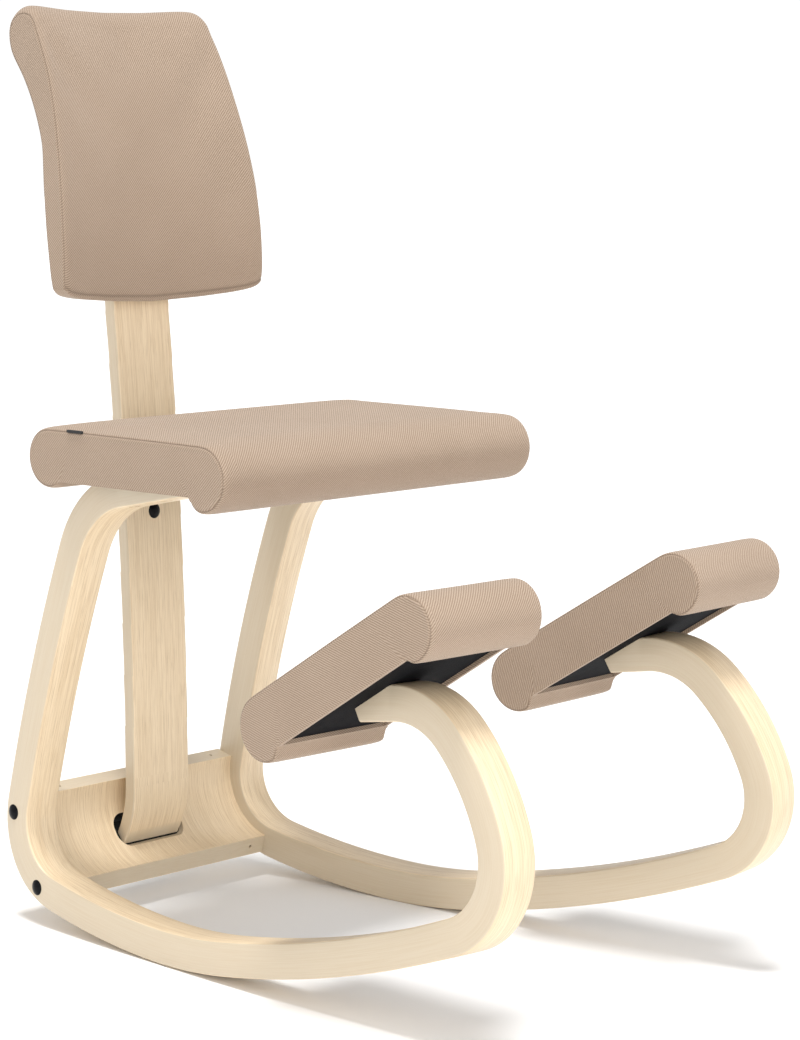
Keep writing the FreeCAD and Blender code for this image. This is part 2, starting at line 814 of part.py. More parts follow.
def build():
    bar = left_bar()
    for hole in at_cross_bolts(cross_bolt_hole):
        bar = bar.cut(hole)
    nut_top = seat_cover_z + seat_cover_thick + seat_board_thick
    bolts = []
    nuts = []
    board = seat_board()
    cover = seat_cover()
    for x, y in seat_bolt_spots():
        low = bar_underside(-y)
        head_z = low + 9.0
        bolts.append(up_bolt(x, y, head_z, nut_top - 0.5))
        hole = up_hole(x, y, head_z, nut_top - 0.5, low - 20)
        if x > 0:
            bar = bar.cut(hole)
        nuts.append(tee_nut(x, y, nut_top, seat_board_thick))
        board = board.cut(tee_nut_room(x, y, nut_top, seat_board_thick))
        cover = cover.cut(rod(bolt_r + hole_slack, 20, V(x, y, seat_cover_z - 5), V(0, 0, 1)))

    knee_top = knee_cover_w + knee_cover_thick + knee_board_thick
    k_board = knee_board()
    k_cover = knee_cover()
    k_bolts = []
    k_nuts = []
    for u in knee_bolts_u:
        head_w = knee_cover_w - 9.0
        k_bolts.append(up_bolt(2.0, -u, head_w, knee_top - 0.5))
        hole = up_hole(2.0, -u, head_w, knee_top - 0.5, head_w - 40)
        bar = bar.cut(knee_place(hole))
        k_nuts.append(tee_nut(2.0, -u, knee_top, knee_board_thick))
        k_board = k_board.cut(tee_nut_room(2.0, -u, knee_top, knee_board_thick))
        k_cover = k_cover.cut(rod(bolt_r + hole_slack, 20, V(2.0, -u, knee_cover_w - 5), V(0, 0, 1)))

    cross = cross_piece()
    inserts = at_cross_bolts(cross_insert)
    for ins in inserts:
        solid_ins = ins
        cross = cross.cut(solid_ins)
        cross = cross.cut(mirrored(solid_ins))
    for y, z in cross_bolt_spots():
        core = lean(move(rod(bolt_r, 80, V(-bar_width - insert_length, 0, 0), V(1, 0, 0)), 0, y, z))
        cross = cross.cut(core)
        cross = cross.cut(mirrored(core))

    post = post_solid().cut(top_rounding())
    post = post.cut(post_bolt_frame(post_bolt_hole()))
    bracket = post_bracket()
    bracket = bracket.cut(post_bolt_frame(rod(bolt_r + hole_slack, 60, V(-50, 0, 0), V(1, 0, 0))))
    bracket_screws = []
    for x, s in ((-22.0, -155.0), (22.0, -155.0), (-22.0, -188.0), (22.0, -188.0)):
        z = seat_cover_z - bracket_thick
        head = rod(screw_head_r, screw_head_h, V(x, -s, z - screw_head_h), V(0, 0, 1))
        shank = rod(screw_r, bracket_thick + 12.0, V(x, -s, z), V(0, 0, 1))
        bracket_screws.append(head.fuse(shank).removeSplitter())
        bracket = bracket.cut(rod(screw_r + hole_slack, 20, V(x, -s, z - 8), V(0, 0, 1)))
        cover = cover.cut(rod(screw_r + hole_slack, 6, V(x, -s, z), V(0, 0, 1)))
        board = board.cut(shank)
    bush = foot_bush().cut(post)
    strap = foot_strap()

    screws = []
    back = back_board().cut(post)
    for z in back_screws_z:
        for side in (-1, 1):
            x = side * back_screws_x
            screws.append(back_screw_at(x, z))
            post = post.cut(back_screw_hole(x, z))
            back = back.cut(back_screw_at(x, z))

    strap_screws = []
    for x in (-58.0, 58.0):
        p = ring_point(211.0, cross_outer_r + 2.5, x)
        c = ring_point(211.0, 0.0, x)
        d = c - p
        d.normalize()
        head = rod(screw_head_r, screw_head_h, p - d * screw_head_h, d)
        shank = rod(screw_r, 2.5 + 15.0, p, d)
        piece = head.fuse(shank).removeSplitter()
        strap_screws.append(piece)
        strap = strap.cut(rod(screw_r + hole_slack, 40, p - d * 10, d))
        cross = cross.cut(shank)
    for x in (-20.0, 20.0):
        p = ring_point(214.0, cross_outer_r + 2.5, x)
        c = ring_point(214.0, 0.0, x)
        d = c - p
        d.normalize()
        head = rod(screw_head_r, screw_head_h, p - d * screw_head_h, d)
        shank = rod(screw_r, 2.5 + 18.0, p, d)
        strap_screws.append(head.fuse(shank).removeSplitter())
        strap = strap.cut(rod(screw_r + hole_slack, 40, p - d * 10, d))
        bush = bush.cut(rod(screw_r + hole_slack, 60, p - d * 10, d))
        post = post.cut(shank)

    pad = back_lofted(cushion_profile()).common(back_outline(0.0, 250, 440))
    room = grown_board()
    pad = pad.cut(room)
    for dx, dy in ((-soft_gap, -soft_gap), (soft_gap, -soft_gap), (0, -soft_gap)):
        pad = pad.cut(move(post_solid(), dx, dy, 0))

    out = {}
    out["left_runner"] = bar
    out["right_runner"] = mirrored(bar)
    out["rear_cross_piece"] = cross
    out["cross_piece_bolts"] = both_sides(at_cross_bolts(cross_bolt))
    out["cross_piece_inserts"] = both_sides(inserts)
    out["cross_piece_bolt_caps"] = both_sides(at_cross_bolts(lambda: cap(cap_r, 1)))
    out["back_post"] = post
    out["post_foot_bush"] = bush
    out["post_foot_strap"] = strap
    out["post_foot_screws"] = Part.makeCompound(strap_screws)
    out["post_bracket"] = bracket
    out["post_bracket_screws"] = Part.makeCompound(bracket_screws)
    out["post_bolt"] = post_bolt_frame(post_bolt())
    out["post_bolt_cap"] = post_bolt_frame(cap(cap_r, 1))
    nut_x = -post_thick - bracket_thick
    out["post_bolt_nut"] = post_bolt_frame(hex_nut(10.0, 5.0, bolt_r, nut_x))
    out["seat_cushion"] = seat_cushion()
    out["seat_board"] = board
    out["seat_base_panel"] = cover
    out["seat_tag"] = seat_tag()
    out["seat_bolts"] = Part.makeCompound(bolts)
    out["seat_tee_nuts"] = Part.makeCompound(nuts)
    knee = {
        "knee_cushion": knee_cushion(),
        "knee_board": k_board,
        "knee_base_panel": k_cover,
        "knee_bolts": Part.makeCompound(k_bolts),
        "knee_tee_nuts": Part.makeCompound(k_nuts),
    }
    for name in knee:
        placed = knee_place(knee[name])
        out["left_" + name] = placed
        out["right_" + name] = mirrored(placed)
    out["backrest_cushion"] = pad
    out["backrest_board"] = back
    out["backrest_screws"] = Part.makeCompound(screws)
    return out


def grown_board():
    # the board's room in the pad: the board pushed out by the soft gap
    base = back_board()
    parts = [base]
    for dx, ds, dz in ((soft_gap, 0, 0), (-soft_gap, 0, 0), (0, soft_gap, 0),
                       (0, -8.0, 0), (0, 0, soft_gap), (0, 0, -soft_gap)):
        parts.append(move(base, dx, -ds, dz))
    out = parts[0]
    for extra in parts[1:]:
        out = out.fuse(extra)
    return out


def main():
    shapes = build()
    boxes = [shapes[name].optimalBoundingBox(True, False) for name in shapes]
    y_min = min(b.YMin for b in boxes)
    y_max = max(b.YMax for b in boxes)
    z_min = min(b.ZMin for b in boxes)
    for name in shapes:
        save(name, move(shapes[name], 0, -(y_min + y_max) / 2, -z_min))
    print("shift", -(y_min + y_max) / 2, -z_min, "size y", y_max - y_min)


main()
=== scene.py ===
import math

import bmesh
import bpy
import numpy as np
from mathutils import Matrix, Vector
from mathutils.kdtree import KDTree


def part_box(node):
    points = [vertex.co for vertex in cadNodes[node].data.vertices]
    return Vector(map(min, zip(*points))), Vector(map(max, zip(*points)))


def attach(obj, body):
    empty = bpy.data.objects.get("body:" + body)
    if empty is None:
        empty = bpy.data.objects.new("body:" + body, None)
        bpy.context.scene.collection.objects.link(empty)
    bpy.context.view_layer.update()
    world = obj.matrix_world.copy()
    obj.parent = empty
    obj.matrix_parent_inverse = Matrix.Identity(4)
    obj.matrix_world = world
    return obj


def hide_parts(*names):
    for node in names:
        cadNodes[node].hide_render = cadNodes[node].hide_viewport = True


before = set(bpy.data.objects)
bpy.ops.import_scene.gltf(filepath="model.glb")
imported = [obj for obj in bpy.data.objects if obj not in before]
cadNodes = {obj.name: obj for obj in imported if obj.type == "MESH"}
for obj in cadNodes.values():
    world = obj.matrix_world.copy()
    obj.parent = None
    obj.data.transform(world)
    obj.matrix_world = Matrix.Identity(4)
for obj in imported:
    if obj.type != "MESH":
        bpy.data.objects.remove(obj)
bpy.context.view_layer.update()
body = "chair"
mm = 0.001

# sizes are in mm in the drawing's own frame: x across, s = -y to the front, z up
# two known faces, in metres, give the shift to the part's frame
drawn = {"seatBoardRear": 0.2127, "postTop": 0.8}
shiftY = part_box("seat_board")[1].y - drawn["seatBoardRear"]
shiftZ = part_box("back_post")[1].z - drawn["postTop"]
toFrame = Matrix.Translation((0, shiftY, shiftZ))
print("frame loaded, shift", round(shiftY, 5), round(shiftZ, 5))


# node helpers

def plug(tree, value, socket):
    if isinstance(value, bpy.types.NodeSocket):
        tree.links.new(value, socket)
    else:
        socket.default_value = value


def calc(tree, op, *values):
    node = tree.nodes.new("ShaderNodeMath")
    node.operation = op
    for i, value in enumerate(values):
        plug(tree, value, node.inputs[i])
    return node.outputs[0]


def plus(tree, a, b):
    return calc(tree, "ADD", a, b)


def minus(tree, a, b):
    return calc(tree, "SUBTRACT", a, b)


def times(tree, a, b):
    return calc(tree, "MULTIPLY", a, b)


def divided(tree, a, b):
    return calc(tree, "DIVIDE", a, b)


def joinXyz(tree, x, y, z):
    node = tree.nodes.new("ShaderNodeCombineXYZ")
    for i, value in enumerate((x, y, z)):
        plug(tree, value, node.inputs[i])
    return node.outputs[0]


def scaled(tree, values, scales):
    return joinXyz(tree, *[times(tree, value, scale) for value, scale in zip(values, scales)])


def attribute(tree, name, output):
    node = tree.nodes.new("ShaderNodeAttribute")
    node.attribute_name = name
    return node.outputs[output]


def splitXyz(tree, vector):
    node = tree.nodes.new("ShaderNodeSeparateXYZ")
    tree.links.new(vector, node.inputs[0])
    return node.outputs


def noise(tree, vector, scale=1.0, detail=2.0, rough=0.5):
    node = tree.nodes.new("ShaderNodeTexNoise")
    tree.links.new(vector, node.inputs["Vector"])
    node.inputs["Scale"].default_value = scale
    node.inputs["Detail"].default_value = detail
    node.inputs["Roughness"].default_value = rough
    return node.outputs["Fac"]


def remap(tree, value, low, high, toLow=0.0, toHigh=1.0):
    node = tree.nodes.new("ShaderNodeMapRange")
    node.interpolation_type = "SMOOTHSTEP"
    plug(tree, value, node.inputs["Value"])
    node.inputs["From Min"].default_value = low
    node.inputs["From Max"].default_value = high
    node.inputs["To Min"].default_value = toLow
    node.inputs["To Max"].default_value = toHigh
    return node.outputs["Result"]


def mixColor(tree, fac, a, b):
    node = tree.nodes.new("ShaderNodeMix")
    node.data_type = "RGBA"
    plug(tree, fac, node.inputs[0])
    plug(tree, a, node.inputs[6])
    plug(tree, b, node.inputs[7])
    return node.outputs[2]


def rgba(color):
    return (*color, 1.0)


def bump(tree, height, strength, distance):
    node = tree.nodes.new("ShaderNodeBump")
    node.inputs["Strength"].default_value = strength
    node.inputs["Distance"].default_value = distance
    tree.links.new(height, node.inputs["Height"])
    return node.outputs["Normal"]


def newMaterial(name, fixed):
    material = bpy.data.materials.new(name)
    material.use_nodes = True
    tree = material.node_tree
    shader = tree.nodes["Principled BSDF"]
    for key, value in fixed.items():
        shader.inputs[key].default_value = value
    return material, tree, shader


def finish(tree, shader, color, relief, strength, distance):
    tree.links.new(color, shader.inputs["Base Color"])
    tree.links.new(bump(tree, relief, strength, distance), shader.inputs["Normal"])


def objectPlace(tree):
    return tree.nodes.new("ShaderNodeTexCoord").outputs["Object"]


def give(material, *names):
    for name in names:
        slots = cadNodes[name].data.materials
        slots.clear()
        slots.append(material)


# wood

woodLook = {
    "edge": (0.61, 0.515, 0.38),
    "edgeDark": (0.56, 0.445, 0.30),
    "face": (0.80, 0.65, 0.45),
    "faceDark": (0.66, 0.50, 0.315),
    "pore": (0.46, 0.32, 0.18),
    "ply": 1.6,
    "faceFade": (0.9, 0.3),  # the outer layer's colour fades in between these depths
    # marks per mm along and across the grain, then how far each layer shifts or which seed it has
    "warp": (0.006, 0.03, 2.3),
    "wide": (0.004, 0.20, 0.0),
    "fine": (0.009, 0.75, 31.0),
    "pores": (0.030, 1.5, 77.0),
    "layerShift": 5.17,
    "edgeMarks": (0.012, 0.05, 0.75),
    "wander": 3.0,
    # where each kind of mark starts and is full, and how much of the darker tone it brings
    "wideTone": (0.38, 0.66, 0.22),
    "fineTone": (0.40, 0.64, 0.62),
    "poreTone": (0.54, 0.64, 0.45),
    "edgeTone": (0.35, 0.7, 0.55),
    "glueTone": (0.40, 0.5, 0.20),
    "roughness": 0.42,
    "roughSpread": 0.16,
    "relief": 0.25,
    "coat": {"Coat Weight": 0.18, "Coat Roughness": 0.28},
}


def makeWood(name, grainOf, faceLow, faceHigh):
    # grainOf gives a point's place along the grain, across it and through the layers, in metres
    look = woodLook
    material, tree, shader = newMaterial(name, {"Roughness": look["roughness"], **look["coat"]})
    along, across, depth = [times(tree, v, 1 / mm) for v in splitXyz(tree, grainOf(tree))]
    deep, shallow = look["faceFade"]
    onFace = calc(tree, "MAXIMUM", remap(tree, depth, faceHigh - deep, faceHigh - shallow),
                  remap(tree, depth, faceLow + deep, faceLow + shallow))
    layer = calc(tree, "FLOOR", divided(tree, depth, look["ply"]))
    # a slow warp, so that the streaks wander a little
    slow = noise(tree, scaled(tree, (along, across, layer), look["warp"]), 1.0, 1.0)
    bent = plus(tree, across, times(tree, slow, look["wander"]))

    def streak(mark, detail):
        oftenAlong, oftenAcross, seed = look[mark]
        place = joinXyz(tree, times(tree, along, oftenAlong), times(tree, bent, oftenAcross),
                        plus(tree, times(tree, layer, look["layerShift"]), seed))
        return noise(tree, place, 1.0, detail, 0.6)

    def tone(value, kind):
        start, full, share = look[kind]
        return times(tree, remap(tree, value, start, full), share)

    fine = streak("fine", 3.0)
    faceTone = plus(tree, tone(streak("wide", 2.0), "wideTone"), tone(fine, "fineTone"))
    faceColor = mixColor(tree, faceTone, rgba(look["face"]), rgba(look["faceDark"]))
    flecks = tone(streak("pores", 2.0), "poreTone")
    faceColor = mixColor(tree, flecks, faceColor, rgba(look["pore"]))
    # the bar's sides show the edges of its layers
    marks = noise(tree, scaled(tree, (along, across, depth), look["edgeMarks"]), 1.0, 3.0, 0.6)
    glue = calc(tree, "ABSOLUTE", minus(tree, calc(tree, "FRACT", divided(tree, depth, look["ply"])), 0.5))
    edgeTone = plus(tree, tone(marks, "edgeTone"), tone(glue, "glueTone"))
    edgeColor = mixColor(tree, edgeTone, rgba(look["edge"]), rgba(look["edgeDark"]))
    relief = minus(tree, times(tree, fine, 0.4), times(tree, flecks, onFace))
    finish(tree, shader, mixColor(tree, onFace, edgeColor, faceColor), relief, look["relief"], 0.25 * mm)
    rough = plus(tree, times(tree, fine, look["roughSpread"]), look["roughness"] - look["roughSpread"] / 2)
    tree.links.new(rough, shader.inputs["Roughness"])
    return material


def barGrain(tree):
    # each bar's mesh carries its own grain places
    return attribute(tree, "grain", "Vector")


crossRing = {"centreY": 272.2, "centreZ": 106.4, "inner": 66.4, "outer": 86.4}


def crossGrain(tree):
    # the cross piece is one bend about an axis across the chair
    x, y, z = splitXyz(tree, objectPlace(tree))
    dy = minus(tree, y, crossRing["centreY"] * mm + shiftY)
    dz = minus(tree, z, crossRing["centreZ"] * mm + shiftZ)
    radius = calc(tree, "SQRT", plus(tree, times(tree, dy, dy), times(tree, dz, dz)))
    middle = (crossRing["inner"] + crossRing["outer"]) / 2 * mm
    return joinXyz(tree, times(tree, calc(tree, "ARCTAN2", dz, dy), middle), x, radius)


postCurve = {"frontY": 306.0, "frontZ": 130.0, "radius": 5150.0, "thick": 15.0,
             "footZ": 120.0, "footR": 118.0}


def postGrain(tree):
    # the post leans back on a wide arc, and its foot turns forward on a tight one
    x, y, z = splitXyz(tree, objectPlace(tree))
    up = minus(tree, z, shiftZ)
    rise = calc(tree, "MAXIMUM", minus(tree, up, postCurve["frontZ"] * mm), 0.0)
    drop = calc(tree, "MAXIMUM", minus(tree, postCurve["footZ"] * mm, up), 0.0)
    back = divided(tree, times(tree, rise, rise), 2 * postCurve["radius"] * mm)
    foot = divided(tree, times(tree, drop, drop), 2 * postCurve["footR"] * mm)
    front = plus(tree, plus(tree, back, foot), postCurve["frontY"] * mm + shiftY)
    return joinXyz(tree, z, x, minus(tree, y, front))


barThick = 33.7
barWood = makeWood("ashBar", barGrain, -barThick / 2, barThick / 2)
give(makeWood("ashCrossPiece", crossGrain, crossRing["inner"], crossRing["outer"]), "rear_cross_piece")
give(makeWood("ashPost", postGrain, 0.0, postCurve["thick"]), "back_post")


# fabric

twillLook = {
    "light": (0.45, 0.345, 0.265),
    # painted shade: the dark colour laid into the seams' grooves
    "dark": (0.235, 0.165, 0.110),
    "paintedSeamShade": (0.13, 0.09, 0.06),
    "yarn": 0.76,
    "warpHeight": (0.45, 0.55),  # of a warp yarn at its edge, and how far its middle rises over that
    "weftHeight": 0.5,
    "heather": 0.5,
    "heatherMarks": (0.9, 0.23),
    "cloudy": 0.18,
    "cloudsPerMetre": 14.0,
    "toneRange": (0.05, 0.95),
    "relief": 0.6,
    "shader": {"Roughness": 0.85, "Sheen Weight": 0.25, "Sheen Roughness": 0.45,
               "Sheen Tint": (0.95, 0.87, 0.80, 1.0), "Specular IOR Level": 0.25},
}


def makeTwill(name):
    look = twillLook
    material, tree, shader = newMaterial(name, look["shader"])
    uv = tree.nodes.new("ShaderNodeUVMap")
    uv.uv_map = "weave"
    u, v, _ = splitXyz(tree, uv.outputs[0])
    warp = divided(tree, u, look["yarn"] * mm)
    weft = divided(tree, v, look["yarn"] * mm)
    # two over, two under, one step aside on each row
    rows = plus(tree, calc(tree, "FLOOR", warp), calc(tree, "FLOOR", weft))
    warpUp = calc(tree, "LESS_THAN", calc(tree, "FLOORED_MODULO", rows, 4.0), 2.0)

    def roundOf(yarn):
        return calc(tree, "ABSOLUTE", calc(tree, "SINE", times(tree, yarn, math.pi)))

    edge, rise = look["warpHeight"]
    over = times(tree, warpUp, plus(tree, edge, times(tree, roundOf(warp), rise)))
    under = times(tree, minus(tree, 1.0, warpUp), times(tree, roundOf(weft), look["weftHeight"]))
    height = plus(tree, over, under)
    # the diagonal ribs, smooth, on top of the single yarns
    rib = minus(tree, times(tree, plus(tree, warp, weft), math.pi / 2), math.pi / 2)
    ribWave = plus(tree, 0.5, times(tree, calc(tree, "COSINE", rib), 0.5))
    # painted shade and highlight: the yarns' crowns and the ribs are coloured lighter and the hollows between
    # them darker, then heather and clouds vary the yarn colour
    tone = plus(tree, times(tree, height, 0.5), times(tree, ribWave, 0.5))
    short, long = look["heatherMarks"]
    hairs = joinXyz(tree, times(tree, warp, short), times(tree, weft, long), 0.0)
    heather = noise(tree, hairs, 1.0, 2.0, 0.7)
    cloudy = noise(tree, objectPlace(tree), look["cloudsPerMetre"], 2.0)
    for spread, share in ((heather, look["heather"]), (cloudy, look["cloudy"])):
        tone = plus(tree, tone, times(tree, minus(tree, spread, 0.5), share))
    color = mixColor(tree, remap(tree, tone, *look["toneRange"]), rgba(look["dark"]), rgba(look["light"]))
    # painted shade along each seam's groove, from the stored seam mark
    color = mixColor(tree, times(tree, attribute(tree, "paintedSeamShade", "Fac"), 0.5), color, rgba(look["paintedSeamShade"]))
    relief = plus(tree, times(tree, height, 0.5), times(tree, ribWave, 0.6))
    finish(tree, shader, color, relief, look["relief"], 0.4 * mm)
    return material


twill = makeTwill("beigeTwill")


# small parts' finishes: two close tones, how many blotches and grains per metre, and the relief

finishes = {
    "charcoalPanel": {
        "tones": ((0.0038, 0.0040, 0.0055), (0.0062, 0.0064, 0.0082)), "blotch": 60.0,
        "relief": 0.35, "grain": 2600.0, "shader": {"Roughness": 0.8, "Specular IOR Level": 0.08},
        "nodes": ("seat_base_panel", "left_knee_base_panel", "right_knee_base_panel"),
    },
    "glossBlack": {
        "tones": ((0.004, 0.004, 0.005), (0.008, 0.008, 0.009)), "blotch": 300.0,
        "relief": 0.04, "grain": 1500.0, "shader": {"Roughness": 0.3, "Specular IOR Level": 0.08},
        "nodes": ("cross_piece_bolt_caps", "post_bolt_cap"),
    },
    "blackRubber": {
        "tones": ((0.004, 0.004, 0.004), (0.008, 0.008, 0.008)), "blotch": 220.0,
        "relief": 0.3, "grain": 2200.0, "shader": {"Roughness": 0.7, "Specular IOR Level": 0.15},
        "nodes": ("post_foot_bush",),
    },
    "powderBlack": {
        "tones": ((0.018, 0.018, 0.020), (0.026, 0.026, 0.028)), "blotch": 150.0,
        "relief": 0.5, "grain": 1400.0, "shader": {"Roughness": 0.45},
        "nodes": ("post_foot_strap", "post_bracket", "post_foot_screws", "post_bracket_screws"),
    },
    "zincSteel": {
        "tones": ((0.60, 0.61, 0.63), (0.50, 0.52, 0.55)), "blotch": 240.0,
        "relief": 0.15, "grain": 1800.0, "shader": {"Roughness": 0.34, "Metallic": 1.0},
        "nodes": ("cross_piece_bolts", "cross_piece_inserts", "post_bolt", "post_bolt_nut", "seat_bolts",
                  "seat_tee_nuts", "left_knee_bolts", "right_knee_bolts", "left_knee_tee_nuts",
                  "right_knee_tee_nuts", "backrest_screws"),
    },
    "blackTape": {
        "tones": ((0.012, 0.012, 0.012), (0.030, 0.030, 0.030)), "blotch": 900.0,
        "relief": 0.6, "grain": 2400.0, "shader": {"Roughness": 0.8},
        "nodes": (),
    },
}


def makePlain(name):
    look = finishes[name]
    material, tree, shader = newMaterial(name, look["shader"])
    place = objectPlace(tree)
    blotch = noise(tree, place, look["blotch"], 3.0, 0.6)
    grain = noise(tree, place, look["grain"], 2.0, 0.6)
    color = mixColor(tree, remap(tree, blotch, 0.35, 0.65), *[rgba(tone) for tone in look["tones"]])
    finish(tree, shader, color, grain, look["relief"], 0.2 * mm)
    return material


plyLook = {"light": (0.62, 0.45, 0.27), "dark": (0.42, 0.28, 0.15), "tilt": 0.6, "layers": 700.0,
           "marks": (14.0, 220.0), "relief": 0.3}


def makePlywood():
    material, tree, shader = newMaterial("rawPlywood", {"Roughness": 0.7})
    x, y, z = splitXyz(tree, objectPlace(tree))
    through = plus(tree, z, times(tree, y, plyLook["tilt"]))
    level = calc(tree, "FLOOR", times(tree, through, plyLook["layers"]))
    across, along = plyLook["marks"]
    streaks = noise(tree, joinXyz(tree, times(tree, x, across), times(tree, y, along), level), 1.0, 3.0)
    color = mixColor(tree, streaks, rgba(plyLook["light"]), rgba(plyLook["dark"]))
    finish(tree, shader, color, streaks, plyLook["relief"], 0.3 * mm)
    return material


give(makePlywood(), "seat_board", "left_knee_board", "right_knee_board")
partFinish = {name: makePlain(name) for name in finishes}
for name, material in partFinish.items():
    give(material, *finishes[name]["nodes"])
print("finishes made")


# bent bars

bar = {
    "width": 38.7,
    "thick": barThick,
    "rounding": 2.0,
    "gapHalf": 194.4,
    "toeOut": 3.65,
    "leanIn": 1.98,
    "railEnd": (-183.5, 456.5),
    "railHeading": 191.08,
    "railLength": 150.0,
    # length and radius of each bend, from the seat rail round the rocker to the knee rail
    "bends": [(104.6, 103.65), (282.8, 1896.0), (113.5, 71.6), (168.8, 945.0), (106.2, 621.5),
              (322.9, 1405.9), (112.8, 72.5), (100.2, 208.4), (74.0, 84.6)],
    "kneeRail": 75.0,
    "step": 4.0,
    "tipLow": (172.5, 279.8),
    "tipHigh": (167.1, 289.2),
    "seatLevel": 470.0,
    # each cut works only ahead of this s and above this z
    "tipZone": (100.0, 200.0),
    "seatZone": (-1000.0, 300.0),
    "kneeZone": (60.0, 150.0),
    "sharpAbove": 32,
}
knee = {
    "origin": (171.0, 96.5, 267.1),
    "slope": 31.2,
    "toe": 2.7,
    "panelLevel": -18.0,
}
kneePlace = (Matrix.Translation((knee["origin"][0], -knee["origin"][1], knee["origin"][2]))
             @ Matrix.Rotation(math.radians(knee["toe"]), 4, "Z")
             @ Matrix.Rotation(math.radians(-knee["slope"]), 4, "X"))
barPlace = (Matrix.Translation((bar["gapHalf"], 0, 0))
            @ Matrix.Rotation(math.radians(bar["toeOut"]), 4, "Z")
            @ Matrix.Rotation(math.radians(-bar["leanIn"]), 4, "Y"))


def barLine():
    # points of the bar's centre line as (s, z), with the heading and the length so far
    heading = math.radians(bar["railHeading"])
    s = bar["railEnd"][0] - bar["railLength"] * math.cos(heading)
    z = bar["railEnd"][1] - bar["railLength"] * math.sin(heading)

    def ahead(t, radius):
        if radius is None:
            return s + t * math.cos(heading), z + t * math.sin(heading), heading
        turned = heading + t / radius
        return (s + radius * (math.sin(turned) - math.sin(heading)),
                z - radius * (math.cos(turned) - math.cos(heading)), turned)

    runs = [(bar["railLength"], None)] + bar["bends"] + [(bar["kneeRail"], None)]
    rows, done = [], 0.0
    for length, radius in runs:
        count = max(2, round(length / bar["step"]))
        for i in range(count):
            t = length * i / count
            rows.append((*ahead(t, radius), done + t))
        s, z, heading = ahead(length, radius)
        done += length
    rows.append((s, z, heading, done))
    return np.array(rows)


def groupInput(group, name, value):
    socket = group.interface.new_socket(name, in_out="INPUT", socket_type="NodeSocketFloat")
    socket.default_value = value
    return socket.identifier


def barTree():
    # sweeps a rounded rectangle along the bar's line
    group = bpy.data.node_groups.new("bentBar", "GeometryNodeTree")
    for way in ("INPUT", "OUTPUT"):
        group.interface.new_socket("Geometry", in_out=way, socket_type="NodeSocketGeometry")
    ids = {name: groupInput(group, name, value) for name, value in
           (("Width", 0.03), ("Thickness", 0.03), ("Rounding", 0.002))}
    add = group.nodes.new
    source, target = add("NodeGroupInput"), add("NodeGroupOutput")
    section = add("GeometryNodeCurvePrimitiveQuadrilateral")
    fillet = add("GeometryNodeFilletCurve")
    fillet.mode = "POLY"
    fillet.inputs["Count"].default_value = 3
    sweep = add("GeometryNodeCurveToMesh")
    sweep.inputs["Fill Caps"].default_value = True
    real, paint = add("GeometryNodeRealizeInstances"), add("GeometryNodeSetMaterial")
    paint.inputs["Material"].default_value = barWood
    for first, output, second, into in (
            (source, "Width", section, "Width"), (source, "Thickness", section, "Height"),
            (section, "Curve", fillet, "Curve"), (source, "Rounding", fillet, "Radius"),
            (source, "Geometry", sweep, "Curve"), (fillet, "Curve", sweep, "Profile Curve"),
            (sweep, "Mesh", real, "Geometry"), (real, "Geometry", paint, "Geometry"),
            (paint, "Geometry", target, "Geometry")):
        group.links.new(first.outputs[output], second.inputs[into])
    return group, ids


def addObject(name, data):
    made = bpy.data.objects.new(name, data)
    bpy.context.scene.collection.objects.link(made)
    return made


def evaluatedMesh(source):
    graph = bpy.context.evaluated_depsgraph_get()
    graph.update()
    return bpy.data.meshes.new_from_object(source.evaluated_get(graph), preserve_all_data_layers=True,
                                           depsgraph=graph)


def openMesh(mesh):
    work = bmesh.new()
    work.from_mesh(mesh)
    return work


def closeMesh(work, mesh):
    work.to_mesh(mesh)
    work.free()
    return mesh


def faceOutwards(work):
    bmesh.ops.recalc_face_normals(work, faces=work.faces)


def pointsOf(mesh):
    co = np.empty(len(mesh.vertices) * 3)
    mesh.vertices.foreach_get("co", co)
    return co.reshape(-1, 3)


def dropObject(item):
    mesh = item.data
    bpy.data.objects.remove(item)
    bpy.data.meshes.remove(mesh)


def sweptBar(line):
    path = bpy.data.curves.new("barLine", "CURVE")
    path.dimensions = "3D"
    spline = path.splines.new("POLY")
    spline.points.add(len(line) - 1)
    flat = np.ones((len(line), 4))
    flat[:, 0] = -bar["width"] / 2 * mm
    flat[:, 1] = -line[:, 0] * mm
    flat[:, 2] = line[:, 1] * mm
    spline.points.foreach_set("co", flat.ravel())
    holder = addObject("barLine", path)
    group, ids = barTree()
    modifier = holder.modifiers.new("bentBar", "NODES")
    modifier.node_group = group
    for name, key in (("Width", "width"), ("Thickness", "thick"), ("Rounding", "rounding")):
        modifier[ids[name]] = bar[key] * mm
    mesh = evaluatedMesh(holder)
    holder.modifiers.remove(modifier)
    bpy.data.objects.remove(holder)
    return mesh


def sliceOff(work, point, outward, zone):
    # cuts away what lies beyond a plane, in its zone only, and closes the cut
    faces = []
    for face in work.faces:
        middle = face.calc_center_median()
        if -middle.y > zone[0] and middle.z > zone[1]:
            faces.append(face)
    edges = {e for f in faces for e in f.edges}
    verts = {v for f in faces for v in f.verts}
    cut = bmesh.ops.bisect_plane(work, geom=faces + list(edges) + list(verts), plane_co=point,
                                 plane_no=outward, clear_outer=True)
    rim = [e for e in cut["geom_cut"] if isinstance(e, bmesh.types.BMEdge) and e.is_boundary]
    bmesh.ops.contextual_create(work, geom=rim)


def rodMesh(work, place, radius, low, high, sides=40):
    # a closed cylinder along local z
    rings = []
    for level in (low, high):
        turns = [2 * math.pi * i / sides for i in range(sides)]
        rings.append([work.verts.new(place @ Vector((radius * math.cos(a), radius * math.sin(a), level)))
                      for a in turns])
    for i in range(sides):
        j = (i + 1) % sides
        work.faces.new((rings[0][i], rings[0][j], rings[1][j], rings[1][i]))
    work.faces.new(rings[0][::-1])
    work.faces.new(rings[1])


